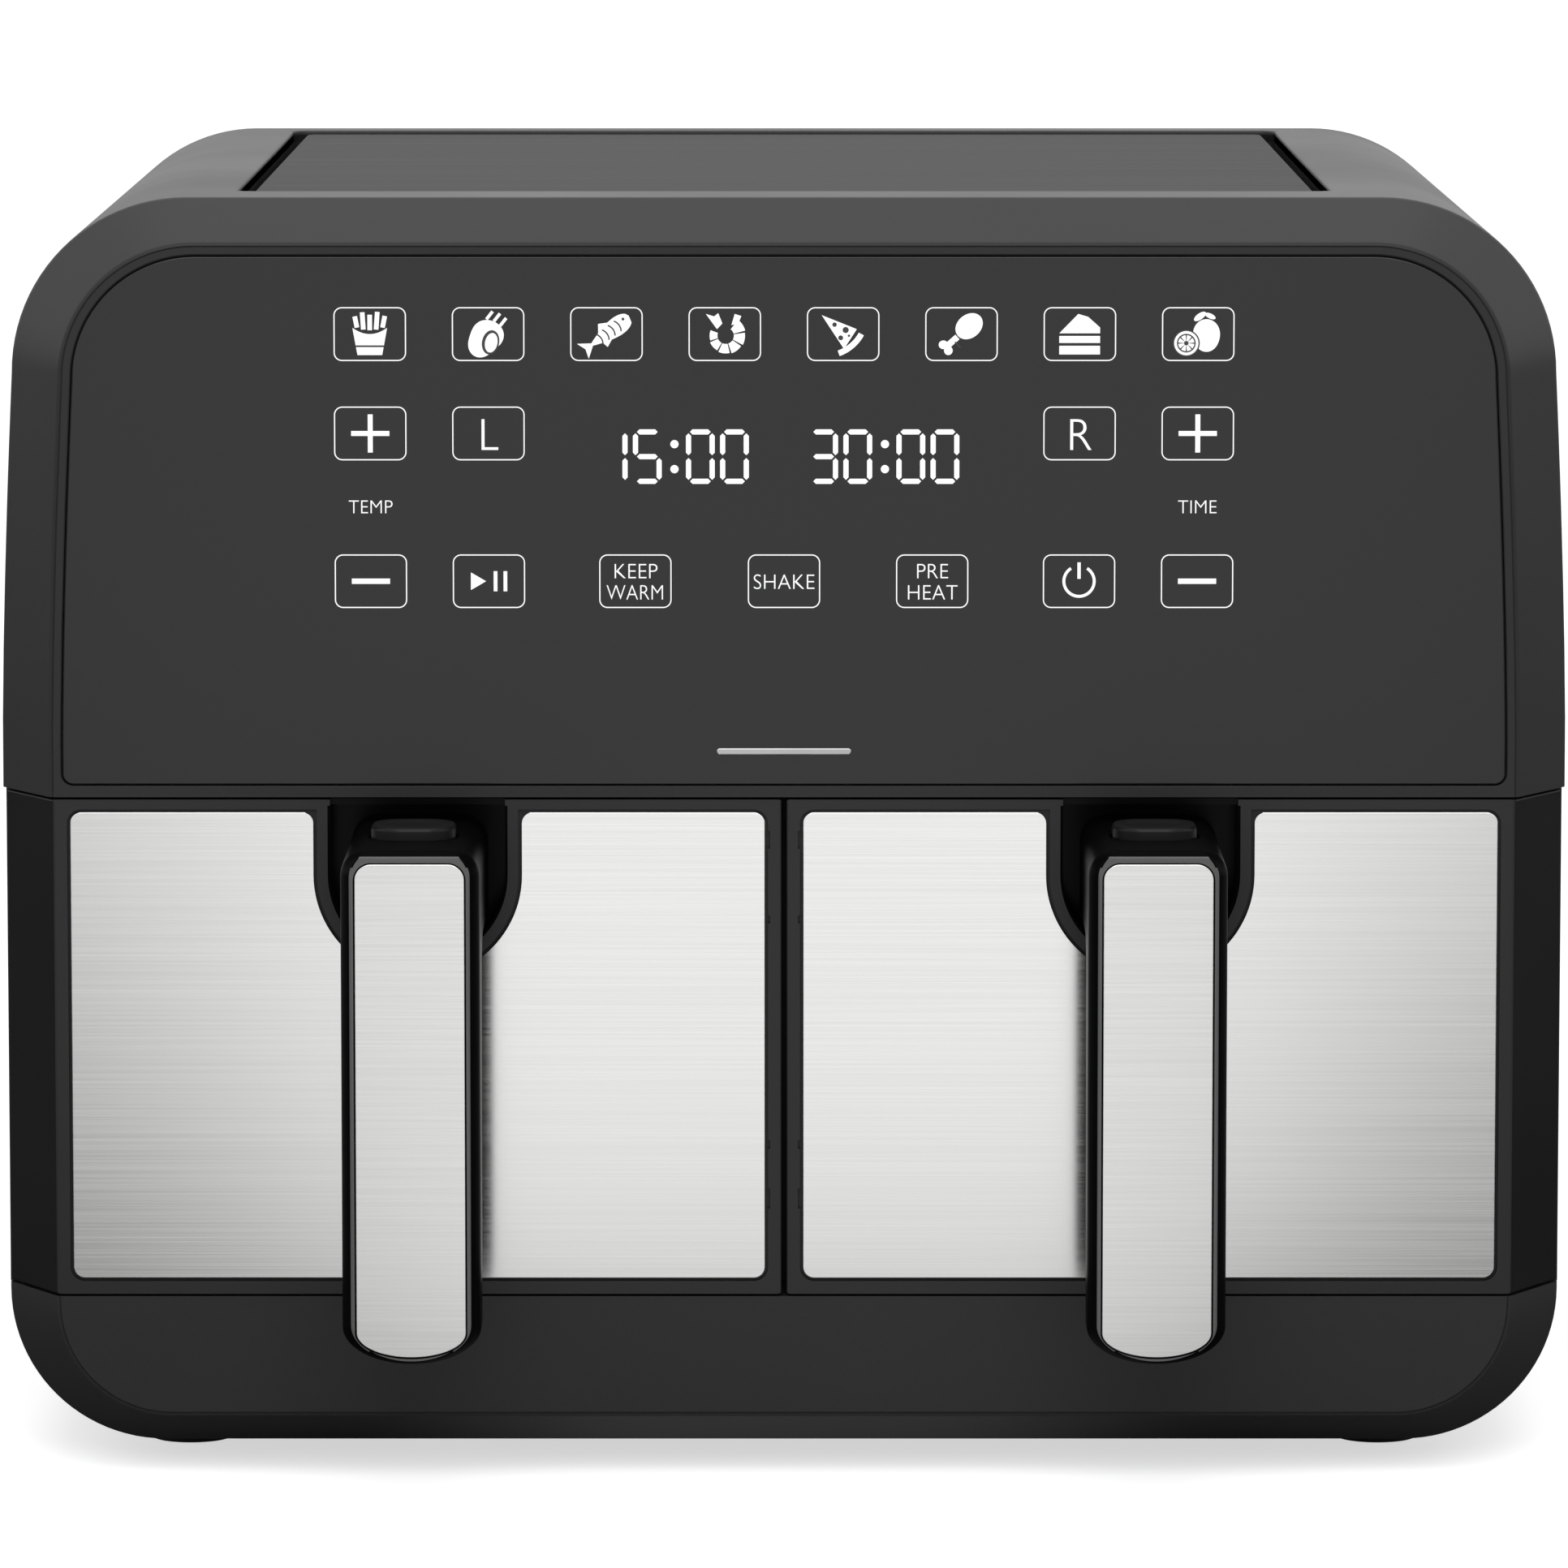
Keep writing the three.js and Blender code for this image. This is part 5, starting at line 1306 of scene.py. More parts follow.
def paint_flank_shade(mesh):
    """Gives the third material, a darker copy that paints shade, to the faces of the drawer front's
    sloping outer side.
    """
    count = len(mesh.polygons)
    centre, normal = np.empty(count * 3), np.empty(count * 3)
    mesh.polygons.foreach_get("center", centre)
    mesh.polygons.foreach_get("normal", normal)
    index = np.empty(count, np.int32)
    mesh.polygons.foreach_get("material_index", index)
    index[(np.abs(normal[::3]) > 0.6) & (np.abs(centre[::3]) > FACE_OUTER)] = 2
    mesh.polygons.foreach_set("material_index", index)


class AIRFRYER_OT_steel_plates(bpy.types.Operator):
    """Makes the brushed plates on the drawer fronts, each with a notch round the pocket."""

    bl_idname = "airfryer.steel_plates"
    bl_label = "Steel plates"

    def execute(self, context):
        d = context.scene.fryer_drawer
        reach = d.pocket_half + d.pocket_ring
        top = PLATE[1][2]
        r = d.plate_radius
        centre = FRONT[1][2] - d.pocket_straight

        def notch(grow):
            a, c = reach + grow, FACE_CENTRE
            return np.vstack(
                [
                    [[c + a + r, top + PLAY], [c - a - r, top + PLAY]],
                    arc(c - a - r, top - r, r, r, 1, 0, 8),
                    arc(c, centre, a, a, 2, 4, 48),
                    arc(c + a + r, top - r, r, r, 2, 1, 8),
                ]
            )

        plate = along_y(softened(PLATE[0][1], PLATE[1][1], plate_outline, 0.00025))
        cut = along_y(
            [
                (PLATE[0][1] - 0.0005, notch(0.0007)),
                (PLATE[0][1], notch(0.0002)),
                (PLATE[0][1] + 0.0002, notch(0)),
                (PLATE[1][1] + PLAY, notch(0)),
            ]
        )

        def build(name, sign):
            made = carved(
                f"{name}_brushed_plate",
                sided(plate, sign),
                cuts=[sided(cut, sign)],
            )
            add_brushing(made.data)
            finished(
                made, f"{name}_drawer", "steel", material("steel"), replaces=[f"{name}_steel_plate"]
            )

        both_sides(build)
        return {"FINISHED"}


class AIRFRYER_OT_handles(bpy.types.Operator):
    """Makes the upright handles and their brushed inlays."""

    bl_idname = "airfryer.handles"
    bl_label = "Handles and inlays"

    def execute(self, context):
        d = context.scene.fryer_drawer
        (x0, face, low), (x1, root_back, top) = HANDLE
        half = (x1 - x0) / 2
        bar_back = face + d.bar_depth
        root_low = top - d.root_height
        f, nose = d.fillet, 0.0022
        side = np.vstack(
            [
                [[face, low], [face + d.toe_depth, low]],
                arc(bar_back + f, root_low - f, f, f, 2, 1, 14),
                [[root_back, root_low], [root_back, top]],
                arc(face + nose, top - nose, nose, nose, 1, 2, 8),
            ]
        )
        body = along_x([(x0, side), (x1, side)])

        def outline(inset, lift):
            return bar_outline(half - inset, low + lift, top, d.handle_corner, d.handle_rise)

        b, deep = d.handle_bevel, 0.005
        bevelled = along_y(
            [
                (face - 0.0005, outline(b + 0.0009, b * 0.5 + 0.0006)),
                (face, outline(b + 0.0004, b * 0.5 + 0.0003)),
                (face + 0.0002, outline(b * 0.98, b * 0.5)),
                *((face + deep * t, outline(b * across, b * up)) for t, across, up in BEVEL_STEPS),
                (face + deep * 1.1, outline(0, 0)),
                (root_back + PLAY, outline(0, 0)),
            ]
        )
        button_gap = 0.0004
        well = along_z(
            [
                (top - 0.012, button_outline(button_gap)),
                (top - 0.0004, button_outline(button_gap)),
                (top, button_outline(button_gap + 0.0004)),
                (top + PLAY, button_outline(button_gap + 0.0014)),
            ]
        )
        seat = along_y(
            [
                (face - PLAY, inlay_outline(0.0003)),
                (face + 0.0013, inlay_outline(0.0003)),
            ]
        )
        inlay = along_y(softened(INLAY[0][1], INLAY[1][1], inlay_outline, 0.00025))

        def build(name, sign):
            made = carved(
                f"{name}_grip",
                sided(body, sign),
                keeps=[sided(bevelled, sign)],
                cuts=[sided(c, sign) for c in (well, seat)],
            )
            finished(
                made,
                f"{name}_drawer",
                "gloss",
                material("grip"),
                material("rim"),
                replaces=[f"{name}_handle"],
            )
            paint_front_highlight(made.data, face)
            strip = sided(inlay, sign).object(f"{name}_grip_inlay")
            add_brushing(strip.data)
            finished(
                strip,
                f"{name}_drawer",
                "steel",
                material("inlay"),
                replaces=[f"{name}_handle_inlay"],
            )

        both_sides(build)
        return {"FINISHED"}


def paint_front_highlight(mesh, face):
    """Gives the second material, a paler grey that paints a highlight, to the faces that lie flat in the
    handle's front.
    """
    count = len(mesh.polygons)
    centre, normal = np.empty(count * 3), np.empty(count * 3)
    mesh.polygons.foreach_get("center", centre)
    mesh.polygons.foreach_get("normal", normal)
    flat = (normal[1::3] < -0.9) & (centre[1::3] < face + RIM_DEPTH)
    mesh.polygons.foreach_set("material_index", flat.astype(np.int32))


class AIRFRYER_OT_buttons(bpy.types.Operator):
    """Makes the release buttons and their springs."""

    bl_idname = "airfryer.buttons"
    bl_label = "Release buttons"

    def execute(self, context):
        low, high = BUTTON[0][2], BUTTON[1][2]
        stations = softened(low, high, button_outline, 0.0011)
        centre_y = (BUTTON[0][1] + BUTTON[1][1]) / 2

        def dish(grow):
            x, y = 0.0072 + grow, 0.0068 + grow
            return rounded(
                FACE_CENTRE - x, FACE_CENTRE + x, centre_y - y, centre_y + y, 0.0052 + grow
            )

        hollow = along_z(
            [
                (high - 0.0005, dish(-0.0016)),
                (high - 0.00025, dish(-0.0006)),
                (high, dish(0)),
                (high + 0.0005, dish(0.0005)),
            ]
        )
        spring_low, spring_high = span("right_button_spring")
        r, wire_r = 0.004, 0.0006
        t = np.linspace(0, 1, 110)
        angle = 2 * math.pi * 3 * t
        z = spring_low[2] + wire_r + (spring_high[2] - spring_low[2] - 2 * wire_r) * t
        path = np.column_stack([FACE_CENTRE + r * np.cos(angle), centre_y + r * np.sin(angle), z])

        def build(name, sign):
            made = carved(
                f"{name}_press_cap",
                sided(along_z(stations), sign),
                cuts=[sided(hollow, sign)],
            )
            finished(
                made, f"{name}_button", "gloss", material("button"), replaces=[f"{name}_release_button"]
            )
            coil = sided(tube(path, wire_r, 10), sign).object(f"{name}_coil")
            finished(
                coil, f"{name}_drawer", "bright", material("bright"), replaces=[f"{name}_button_spring"]
            )
            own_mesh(coil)

        both_sides(build)
        return {"FINISHED"}


class AIRFRYER_OT_pans(bpy.types.Operator):
    """Makes the pans with a rolled rim and the slotted plates."""

    bl_idname = "airfryer.pans"
    bl_label = "Pans and crisper plates"

    def execute(self, context):
        rim_w, wall = 0.003, 0.001
        (rx0, y0, low), (rx1, ry1, high) = span("right_pan")
        x0, x1, y1 = rx0 + rim_w, rx1 - rim_w, ry1 - rim_w

        def outline(grow):
            return rounded(x0 - grow, x1 + grow, y0 - grow, y1 + grow, 0.022 + grow, 14)

        turn = np.linspace(0, math.pi / 2, 7)
        foot = 0.005
        body = along_z(
            [(low + foot * (1 - math.sin(a)), outline(-foot * (1 - math.cos(a)))) for a in turn[::-1]]
            + [(high - 0.0001, outline(0)), (high, outline(-0.0001))]
        )
        rim = along_z(softened(high - 0.0015, high, lambda g: outline(rim_w + g), 0.0006))
        trim = box_surface(x0 - 0.01, x1 + 0.01, y0 - 0.03, y0, low, high + PLAY)
        inner = foot - wall
        inside = along_z(
            [
                (low + wall + inner * (1 - math.sin(a)), outline(-wall - inner * (1 - math.cos(a))))
                for a in turn[::-1]
            ]
            + [(high - 0.0004, outline(-wall)), (high, outline(-wall + 0.0004)), (high + PLAY, outline(0))]
        )
        (cx0, cy0, clow), (cx1, cy1, chigh) = span("right_crisper_plate")

        def tray(grow):
            return rounded(cx0 - grow, cx1 + grow, cy0 - grow, cy1 + grow, 0.0188 + grow, 12)

        sheet = along_z(softened(clow, chigh, tray, 0.0003))
        border, rows, columns = 0.017, 6, 4
        px, py = (cx1 - cx0 - 2 * border) / columns, (cy1 - cy0 - 2 * border) / rows
        slots = []
        for i in range(columns):
            for j in range(rows):
                x, y = cx0 + border + px * (i + 0.5), cy0 + border + py * (j + 0.5)
                slot = rounded(x - 0.011, x + 0.011, y - 0.006, y + 0.006, 0.004, 6)
                slots.append(along_z([(clow - PLAY, slot), (chigh + PLAY, slot)]))

        def build(name, sign):
            rim_piece = carved("rim", sided(rim, sign), cuts=[sided(trim, sign)])
            rim_surface = Surface().add(*mesh_arrays(rim_piece))
            bpy.data.objects.remove(rim_piece)
            made = carved(
                f"{name}_drawer_pan",
                sided(body, sign),
                joins=[rim_surface],
                cuts=[sided(inside, sign)],
            )
            finished(
                made, f"{name}_drawer", "nonstick", material("coating"), replaces=[f"{name}_pan"]
            )
            plate = carved(
                f"{name}_crisper_tray",
                sided(sheet, sign),
                cuts=[sided(c, sign) for c in slots],
            )
            finished(
                plate,
                f"{name}_crisper",
                "nonstick",
                material("coating"),
                replaces=[f"{name}_crisper_plate"],
            )

        both_sides(build)
        return {"FINISHED"}


class AIRFRYER_OT_feet(bpy.types.Operator):
    """Makes the four rubber feet: a turned disc with a rounded edge and a ring in its sole."""

    bl_idname = "airfryer.feet"
    bl_label = "Feet"

    def execute(self, context):
        for name in ("front_left", "front_right", "back_left", "back_right"):
            (x0, y0, z0), (x1, y1, z1) = span(f"foot_{name}")
            r = (x1 - x0) / 2
            profile = [
                (0.003, z0 + 0.0004),
                (0.0052, z0 + 0.0004),
                (0.0060, z0),
                (r - 0.0010, z0),
                (r - 0.0003, z0 + 0.0003),
                (r, z0 + 0.0010),
                (r - 0.0006, z1 - 0.0002),
                (r - 0.0008, z1),
            ]
            made = turned(profile, (x0 + x1) / 2, (y0 + y1) / 2).object(f"rubber_foot_{name}")
            finished(made, "body", "rubber", material("rubber"), replaces=[f"foot_{name}"])
        return {"FINISHED"}


class AIRFRYER_OT_cooking_parts(bpy.types.Operator):
    """Makes the heaters and guards as round rods, and gives the inner parts their finishes."""

    bl_idname = "airfryer.cooking_parts"
    bl_label = "Heaters, fans and inner parts"

    def execute(self, context):
        finishes = {
            "chamber": "chamber",
            "exhaust_duct": "chamber",
            "convection_fan": "fan",
            "cooling_fan": "fan",
            "motor_shaft": "bright",
            "motor": "motor",
            "led_display": "display",
        }
        low, high = span("right_heater")
        guard_low, guard_high = span("right_heater_guard")
        x = (guard_low[0] + guard_high[0]) / 2
        y = (guard_low[1] + guard_high[1]) / 2
        r = 0.0032
        z = low[2] + r
        angle = np.linspace(0, 2 * math.pi * 0.94, 90)
        loop = np.column_stack([x + 0.064 * np.cos(angle), y + 0.064 * np.sin(angle), np.full(90, z)])
        posts = [
            turned([(r, z - r), (r, high[2] - 0.0006), (r - 0.0006, high[2])], px, py, 16)
            for px, py, _ in (loop[0], loop[-1])
        ]
        gz, gr = (guard_low[2] + guard_high[2]) / 2, (guard_high[2] - guard_low[2]) / 2
        ring_r = (guard_high[1] - guard_low[1]) / 2 - gr
        around = np.linspace(0, 2 * math.pi, 72, endpoint=False)
        ring = np.column_stack(
            [x + ring_r * np.cos(around), y + ring_r * np.sin(around), np.full(72, gz)]
        )
        rods = [
            tube([[x + ring_r * s, y - ring_r * math.sqrt(1 - s * s), gz],
                  [x + ring_r * s, y, gz],
                  [x + ring_r * s, y + ring_r * math.sqrt(1 - s * s), gz]], gr * 0.98, 10)
            for s in (-0.6, -0.2, 0.2, 0.6)
        ]
        arm = (guard_high[0] - guard_low[0]) / 2
        rods.append(tube([[x - arm, y, gz], [x, y, gz], [x + arm, y, gz]], gr * 0.96, 10))

        def build(name, sign):
            heater = sided(tube(loop, r, 16), sign).object(f"{name}_heating_tube")
            for post in posts:
                absorb(heater, sided(post, sign).object("post"))
            finished(heater, "body", "heater", material("heater"), replaces=[f"{name}_heater"])
            guard = sided(tube(ring, gr, 10, closed=True), sign).object(f"{name}_guard_ring")
            merge(guard)
            for rod in rods:
                absorb(guard, sided(rod, sign).object("rod"))
            finished(guard, "body", "chamber", material("bright"), replaces=[f"{name}_heater_guard"])
            for kind, key in finishes.items():
                paint(f"{name}_{kind}", key)
            for place in ("front_left", "front_right", "back_left", "back_right"):
                (a0, b0, c0), (a1, b1, c1) = span(f"{name}_bumper_{place}")

                def pad(grow):
                    return rounded(a0 - grow, a1 + grow, b0 - grow, b1 + grow, 0.002 + grow, 6)

                bumper = along_z(softened(c0, c1, pad, 0.0006)).object(f"{name}_pad_{place}")
                finished(
                    bumper,
                    f"{name}_crisper",
                    "silicone",
                    material("silicone"),
                    replaces=[f"{name}_bumper_{place}"],
                )

        both_sides(build)
        paint("display_board", "board")
        paint("power_board", "board")
        return {"FINISHED"}


def absorb(made, other):
    """Adds another object's closed mesh to this one's, and removes the other object."""
    work = bmesh.new()
    work.from_mesh(made.data)
    work.from_mesh(other.data)
    work.to_mesh(made.data)
    work.free()
    bpy.data.objects.remove(other)


def paint(node, key):
    """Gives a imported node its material."""
    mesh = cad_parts[node].data
    mesh.materials.clear()
    mesh.materials.append(material(key))


# ---------------------------------------------------------------- what is printed on the panel

PRINTS = {"light": [], "dark": []}


def printed(outline, layer="light", x=0.0, z=0.0, turn=0.0, scale=1.0):
    """A flat shape of print, given in millimetres about a key's middle, as a thin closed sheet."""
    depth = bpy.context.scene.fryer_panel.print_depth
    o = np.asarray(outline, float) * scale
    a = math.radians(turn)
    o = o @ np.array([[math.cos(a), math.sin(a)], [-math.sin(a), math.cos(a)]])
    o = o * MM + [x, z]
    front = FACE_Y - depth * (1.0 if layer == "light" else DARK_PRINT)
    PRINTS[layer].append(along_y([(front, o), (FACE_Y, o)]))


def ellipse(cx, cz, rx, rz, turn=0.0, steps=32):
    """Points round an ellipse, turned about its own centre."""
    a = np.linspace(0, 2 * math.pi, steps, endpoint=False)
    t = math.radians(turn)
    u, v = rx * np.cos(a), rz * np.sin(a)
    return np.column_stack(
        [cx + u * math.cos(t) - v * math.sin(t), cz + u * math.sin(t) + v * math.cos(t)]
    )


def bar(x0, z0, x1, z1, width):
    """A straight bar of a width between two points."""
    d = np.array([x1 - x0, z1 - z0], float)
    n = np.array([-d[1], d[0]]) / np.linalg.norm(d) * width / 2
    return np.array([[x0, z0] - n, [x1, z1] - n, [x1, z1] + n, [x0, z0] + n])


def sector(r0, r1, a0, a1, cx=0.0, cz=0.0, steps=14):
    """A piece of a ring between two radii and two angles in degrees."""
    a = np.radians(np.linspace(a0, a1, steps))
    outer = np.column_stack([cx + r1 * np.cos(a), cz + r1 * np.sin(a)])
    inner = np.column_stack([cx + r0 * np.cos(a), cz + r0 * np.sin(a)])
    return np.vstack([outer, inner[::-1]])


def draw_fries(x, z):
    """A tapered carton with five sticks standing in it."""
    dip = np.column_stack([np.linspace(4.2, -4.2, 15), 1.5 - 1.5 * (1 - (np.linspace(-1, 1, 15)) ** 2)])
    printed(np.vstack([[[-3.0, -5.1], [3.0, -5.1], [3.9, -0.2]], dip, [[-3.9, -0.2]]]), x=x, z=z)
    printed(bar(-3.4, -2.95, 3.4, -2.95, 0.45), "dark", x, z)
    for i, (lean, high) in enumerate(((-0.9, 4.3), (-0.45, 5.3), (0.0, 4.7), (0.5, 5.4), (0.95, 4.4))):
        foot = (i - 2) * 1.55
        low = 0.7 + 0.16 * (i - 2) ** 2
        printed(bar(foot, low + 0.25, foot + lean * 0.6, high, 1.12), x=x, z=z)


def draw_joint(x, z):
    """A roast joint: a round body with a cut face, and three bones."""
    a = np.linspace(0, 2 * math.pi, 44, endpoint=False)
    r = 4.3 + 0.55 * np.cos(2 * (a - 0.9)) + 0.25 * np.cos(3 * a)
    printed(np.column_stack([-0.7 + r * np.cos(a), -1.0 + r * np.sin(a)]), x=x, z=z)
    printed(ellipse(0.6, -2.0, 2.1, 3.0, -12), "dark", x, z)
    layered(ellipse(0.75, -2.1, 1.5, 2.4, -12), x, z)
    for dx, dz in ((-0.4, 3.6), (1.4, 3.1), (2.9, 2.0)):
        printed(bar(dx, dz, dx + 1.5, dz + 1.9, 0.75), x=x, z=z)


def draw_fish(x, z):
    """A fish: a pointed oval body, a forked tail, fins, ribs and an eye."""
    t = np.linspace(0, 1, 30)
    half = 1.95 * np.sin(math.pi * t**0.62) ** 0.85 + 0.45 * (1 - t)
    spine = 7.0 - 12.0 * t
    body = np.vstack([np.column_stack([spine, half]), np.column_stack([spine, -half])[::-1][1:-1]])
    printed(body, x=x, z=z, turn=36)
    printed([[-4.4, 0.4], [-7.2, 2.3], [-6.3, 0.0], [-7.0, -2.3], [-4.4, -0.4]], x=x, z=z, turn=36)
    printed([[-1.6, 1.2], [2.8, 1.6], [-0.2, 3.2]], x=x, z=z, turn=36)
    printed([[-2.0, -1.0], [0.8, -1.6], [-1.6, -2.7]], x=x, z=z, turn=36)
    for s in (-1.6, 0.2, 2.0, 3.8):
        printed(sector(2.4, 2.75, -36, 36, s - 2.6), "dark", x, z, 36)
    printed(ellipse(5.4, 0.6, 0.36, 0.36), "dark", x, z, 36)


def draw_shrimp(x, z):
    """A curled shrimp: six segments of a thick ring that tapers to a tail fan."""
    for i in range(6):
        a = 52 - i * 43
        grow = 1 - 0.07 * i
        printed(sector(2.0, 2.0 + 2.9 * grow, a - 37, a, 0.2, -0.4), x=x, z=z)
    printed([[-1.9, 1.2], [-4.6, 4.9], [-2.6, 4.3], [-1.6, 5.1], [-0.6, 2.6]], x=x, z=z)
    printed([[1.6, 2.2], [2.4, 4.9], [4.0, 4.4], [3.3, 2.6]], x=x, z=z)


def draw_pizza(x, z):
    """A slice: a wedge with a separate crust and round toppings."""
    printed([[-5.2, 4.6], [3.3, 1.2], [0.2, -3.6]], x=x, z=z)
    crust = sector(9.6, 11.0, -70, -29, -4.6, 5.0)
    printed(crust, x=x, z=z)
    for cx, cz, r in ((-2.1, 2.3, 0.55), (0.6, 1.0, 0.75), (-0.6, -0.9, 0.6), (1.4, -0.4, 0.3)):
        printed(ellipse(cx, cz, r, r), "dark", x, z)


def draw_drumstick(x, z):
    """A drumstick: an egg-shaped end, a bone and two knobs."""
    a = np.linspace(0, 2 * math.pi, 40, endpoint=False)
    r = 3.0 + 0.7 * np.cos(a)
    egg = np.column_stack([1.2 * r * np.cos(a), 0.92 * r * np.sin(a)])
    turned_egg = egg @ np.array([[0.77, 0.64], [-0.64, 0.77]]) + [1.2, 1.4]
    printed(turned_egg, x=x, z=z)
    printed(bar(-3.6, -3.0, -1.0, -0.7, 1.5), x=x, z=z)
    printed(ellipse(-4.4, -2.6, 1.15, 1.05), x=x, z=z)
    printed(ellipse(-3.2, -4.0, 1.05, 1.1), x=x, z=z)
    printed(bar(-1.6, -1.9, -0.2, -3.3, 0.35), "dark", x, z)


def draw_cake(x, z):
    """A slice of cake: a peaked top and two layers."""
    printed([[-5.0, 0.2], [-0.4, 4.9], [2.0, 4.2], [4.9, 1.6], [4.9, 0.2]], x=x, z=z)
    printed(bar(-5.0, -1.3, 4.9, -1.3, 1.7), x=x, z=z)
    printed(bar(-5.0, -3.9, 4.9, -3.9, 2.1), x=x, z=z)


def draw_fruit(x, z):
    """A pear with two leaves and a citrus wheel."""
    a = np.linspace(0, 2 * math.pi, 48, endpoint=False)
    r = 3.55 + 0.55 * np.sin(a) - 0.35 * np.cos(2 * a)
    printed(np.column_stack([2.0 + r * np.cos(a), -0.9 + 1.02 * r * np.sin(a)]), x=x, z=z)
    printed(ellipse(0.4, 4.3, 1.7, 0.75, 35), x=x, z=z)
    printed(ellipse(2.9, 4.4, 1.4, 0.6, -25), x=x, z=z)
    printed(ellipse(-2.9, -2.2, 3.3, 3.3), "dark", x, z)
    outer, inner = ellipse(-2.9, -2.2, 2.95, 2.95), ellipse(-2.9, -2.2, 2.3, 2.3)
    depth = bpy.context.scene.fryer_panel.print_depth
    place = np.array([x, z])
    PRINTS["light"].append(
        ring_sheet(outer * MM + place, inner * MM + place, FACE_Y - depth * OVERPRINT, FACE_Y)
    )
    for k in range(8):
        s = sector(0.55, 1.95, k * 45 + 5, k * 45 + 40, -2.9, -2.2, 5)
        layered(s, x, z)


def layered(outline, x, z):
    """Print that lies over a dark shape."""
    depth = bpy.context.scene.fryer_panel.print_depth
    o = np.asarray(outline) * MM + [x, z]
    PRINTS["light"].append(along_y([(FACE_Y - depth * OVERPRINT, o), (FACE_Y, o)]))


def draw_word(text, x, z, height, squeeze):
    """A word in a plain sans face, centred on a place and squeezed across, as thin closed letters."""
    curve = bpy.data.curves.new("word", "FONT")
    curve.body = text
    curve.align_x = "CENTER"
    curve.extrude = 0.5
    curve.offset = LETTER_THINNING
    curve.resolution_u = 6
    writer = bpy.data.objects.new("word", curve)
    bpy.context.scene.collection.objects.link(writer)
    bpy.context.view_layer.update()
    mesh = bpy.data.meshes.new_from_object(
        writer.evaluated_get(bpy.context.evaluated_depsgraph_get())
    )
    points = np.empty(len(mesh.vertices) * 3)
    mesh.vertices.foreach_get("co", points)
    p = points.reshape(-1, 3)
    size = height / CAPITAL
    depth = bpy.context.scene.fryer_panel.print_depth
    faces = [tuple(f.vertices) for f in mesh.polygons]
    place = np.column_stack(
        [x + p[:, 0] * size * squeeze, FACE_Y - depth * (p[:, 2] + 0.5), z - height / 2 + p[:, 1] * size]
    )
    surface = Surface().add(place, faces)
    PRINTS["light"].append(surface)
    bpy.data.objects.remove(writer)
    bpy.data.curves.remove(curve)
    bpy.data.meshes.remove(mesh)


SEGMENTS = {
    "a": ((0, 2), (1, 2)),
    "b": ((1, 1), (1, 2)),
    "c": ((1, 0), (1, 1)),
    "d": ((0, 0), (1, 0)),
    "e": ((0, 0), (0, 1)),
    "f": ((0, 1), (0, 2)),
    "g": ((0, 1), (1, 1)),
}
FIGURES = {"0": "abcdef", "1": "bc", "3": "abcdg", "5": "acdfg"}


def figure(sign, x, z, width=0.0070, height=0.0133, thick=0.00125, gap=0.00035):
    """One seven-segment figure whose cell's lower left corner is at (x, z).

    Each segment is a hexagon between two corners of the cell, pointed at both ends.
    """
    w, h = (width - thick), (height - thick) / 2
    sheets = []
    depth = bpy.context.scene.fryer_panel.print_depth
    for key in FIGURES[sign]:
        (a0, b0), (a1, b1) = SEGMENTS[key]
        p = np.array([x + thick / 2 + a0 * w, z + thick / 2 + b0 * h])
        q = np.array([x + thick / 2 + a1 * w, z + thick / 2 + b1 * h])
        u = (q - p) / np.linalg.norm(q - p)
        n = np.array([-u[1], u[0]]) * thick / 2
        p, q = p + u * gap, q - u * gap
        k = u * thick / 2
        outline = np.array([p, p + k - n, q - k - n, q, q - k + n, p + k + n])
        sheets.append(along_y([(FACE_Y - depth, outline), (FACE_Y, outline)]))
    return sheets


def gathered(name, sheets):
    """Several closed sheets as one object, all facing outwards."""
    whole = Surface()
    for sheet in sheets:
        sheet.outward()
        whole.add(np.vstack(sheet.points), sheet.faces)
    return whole.object(name)


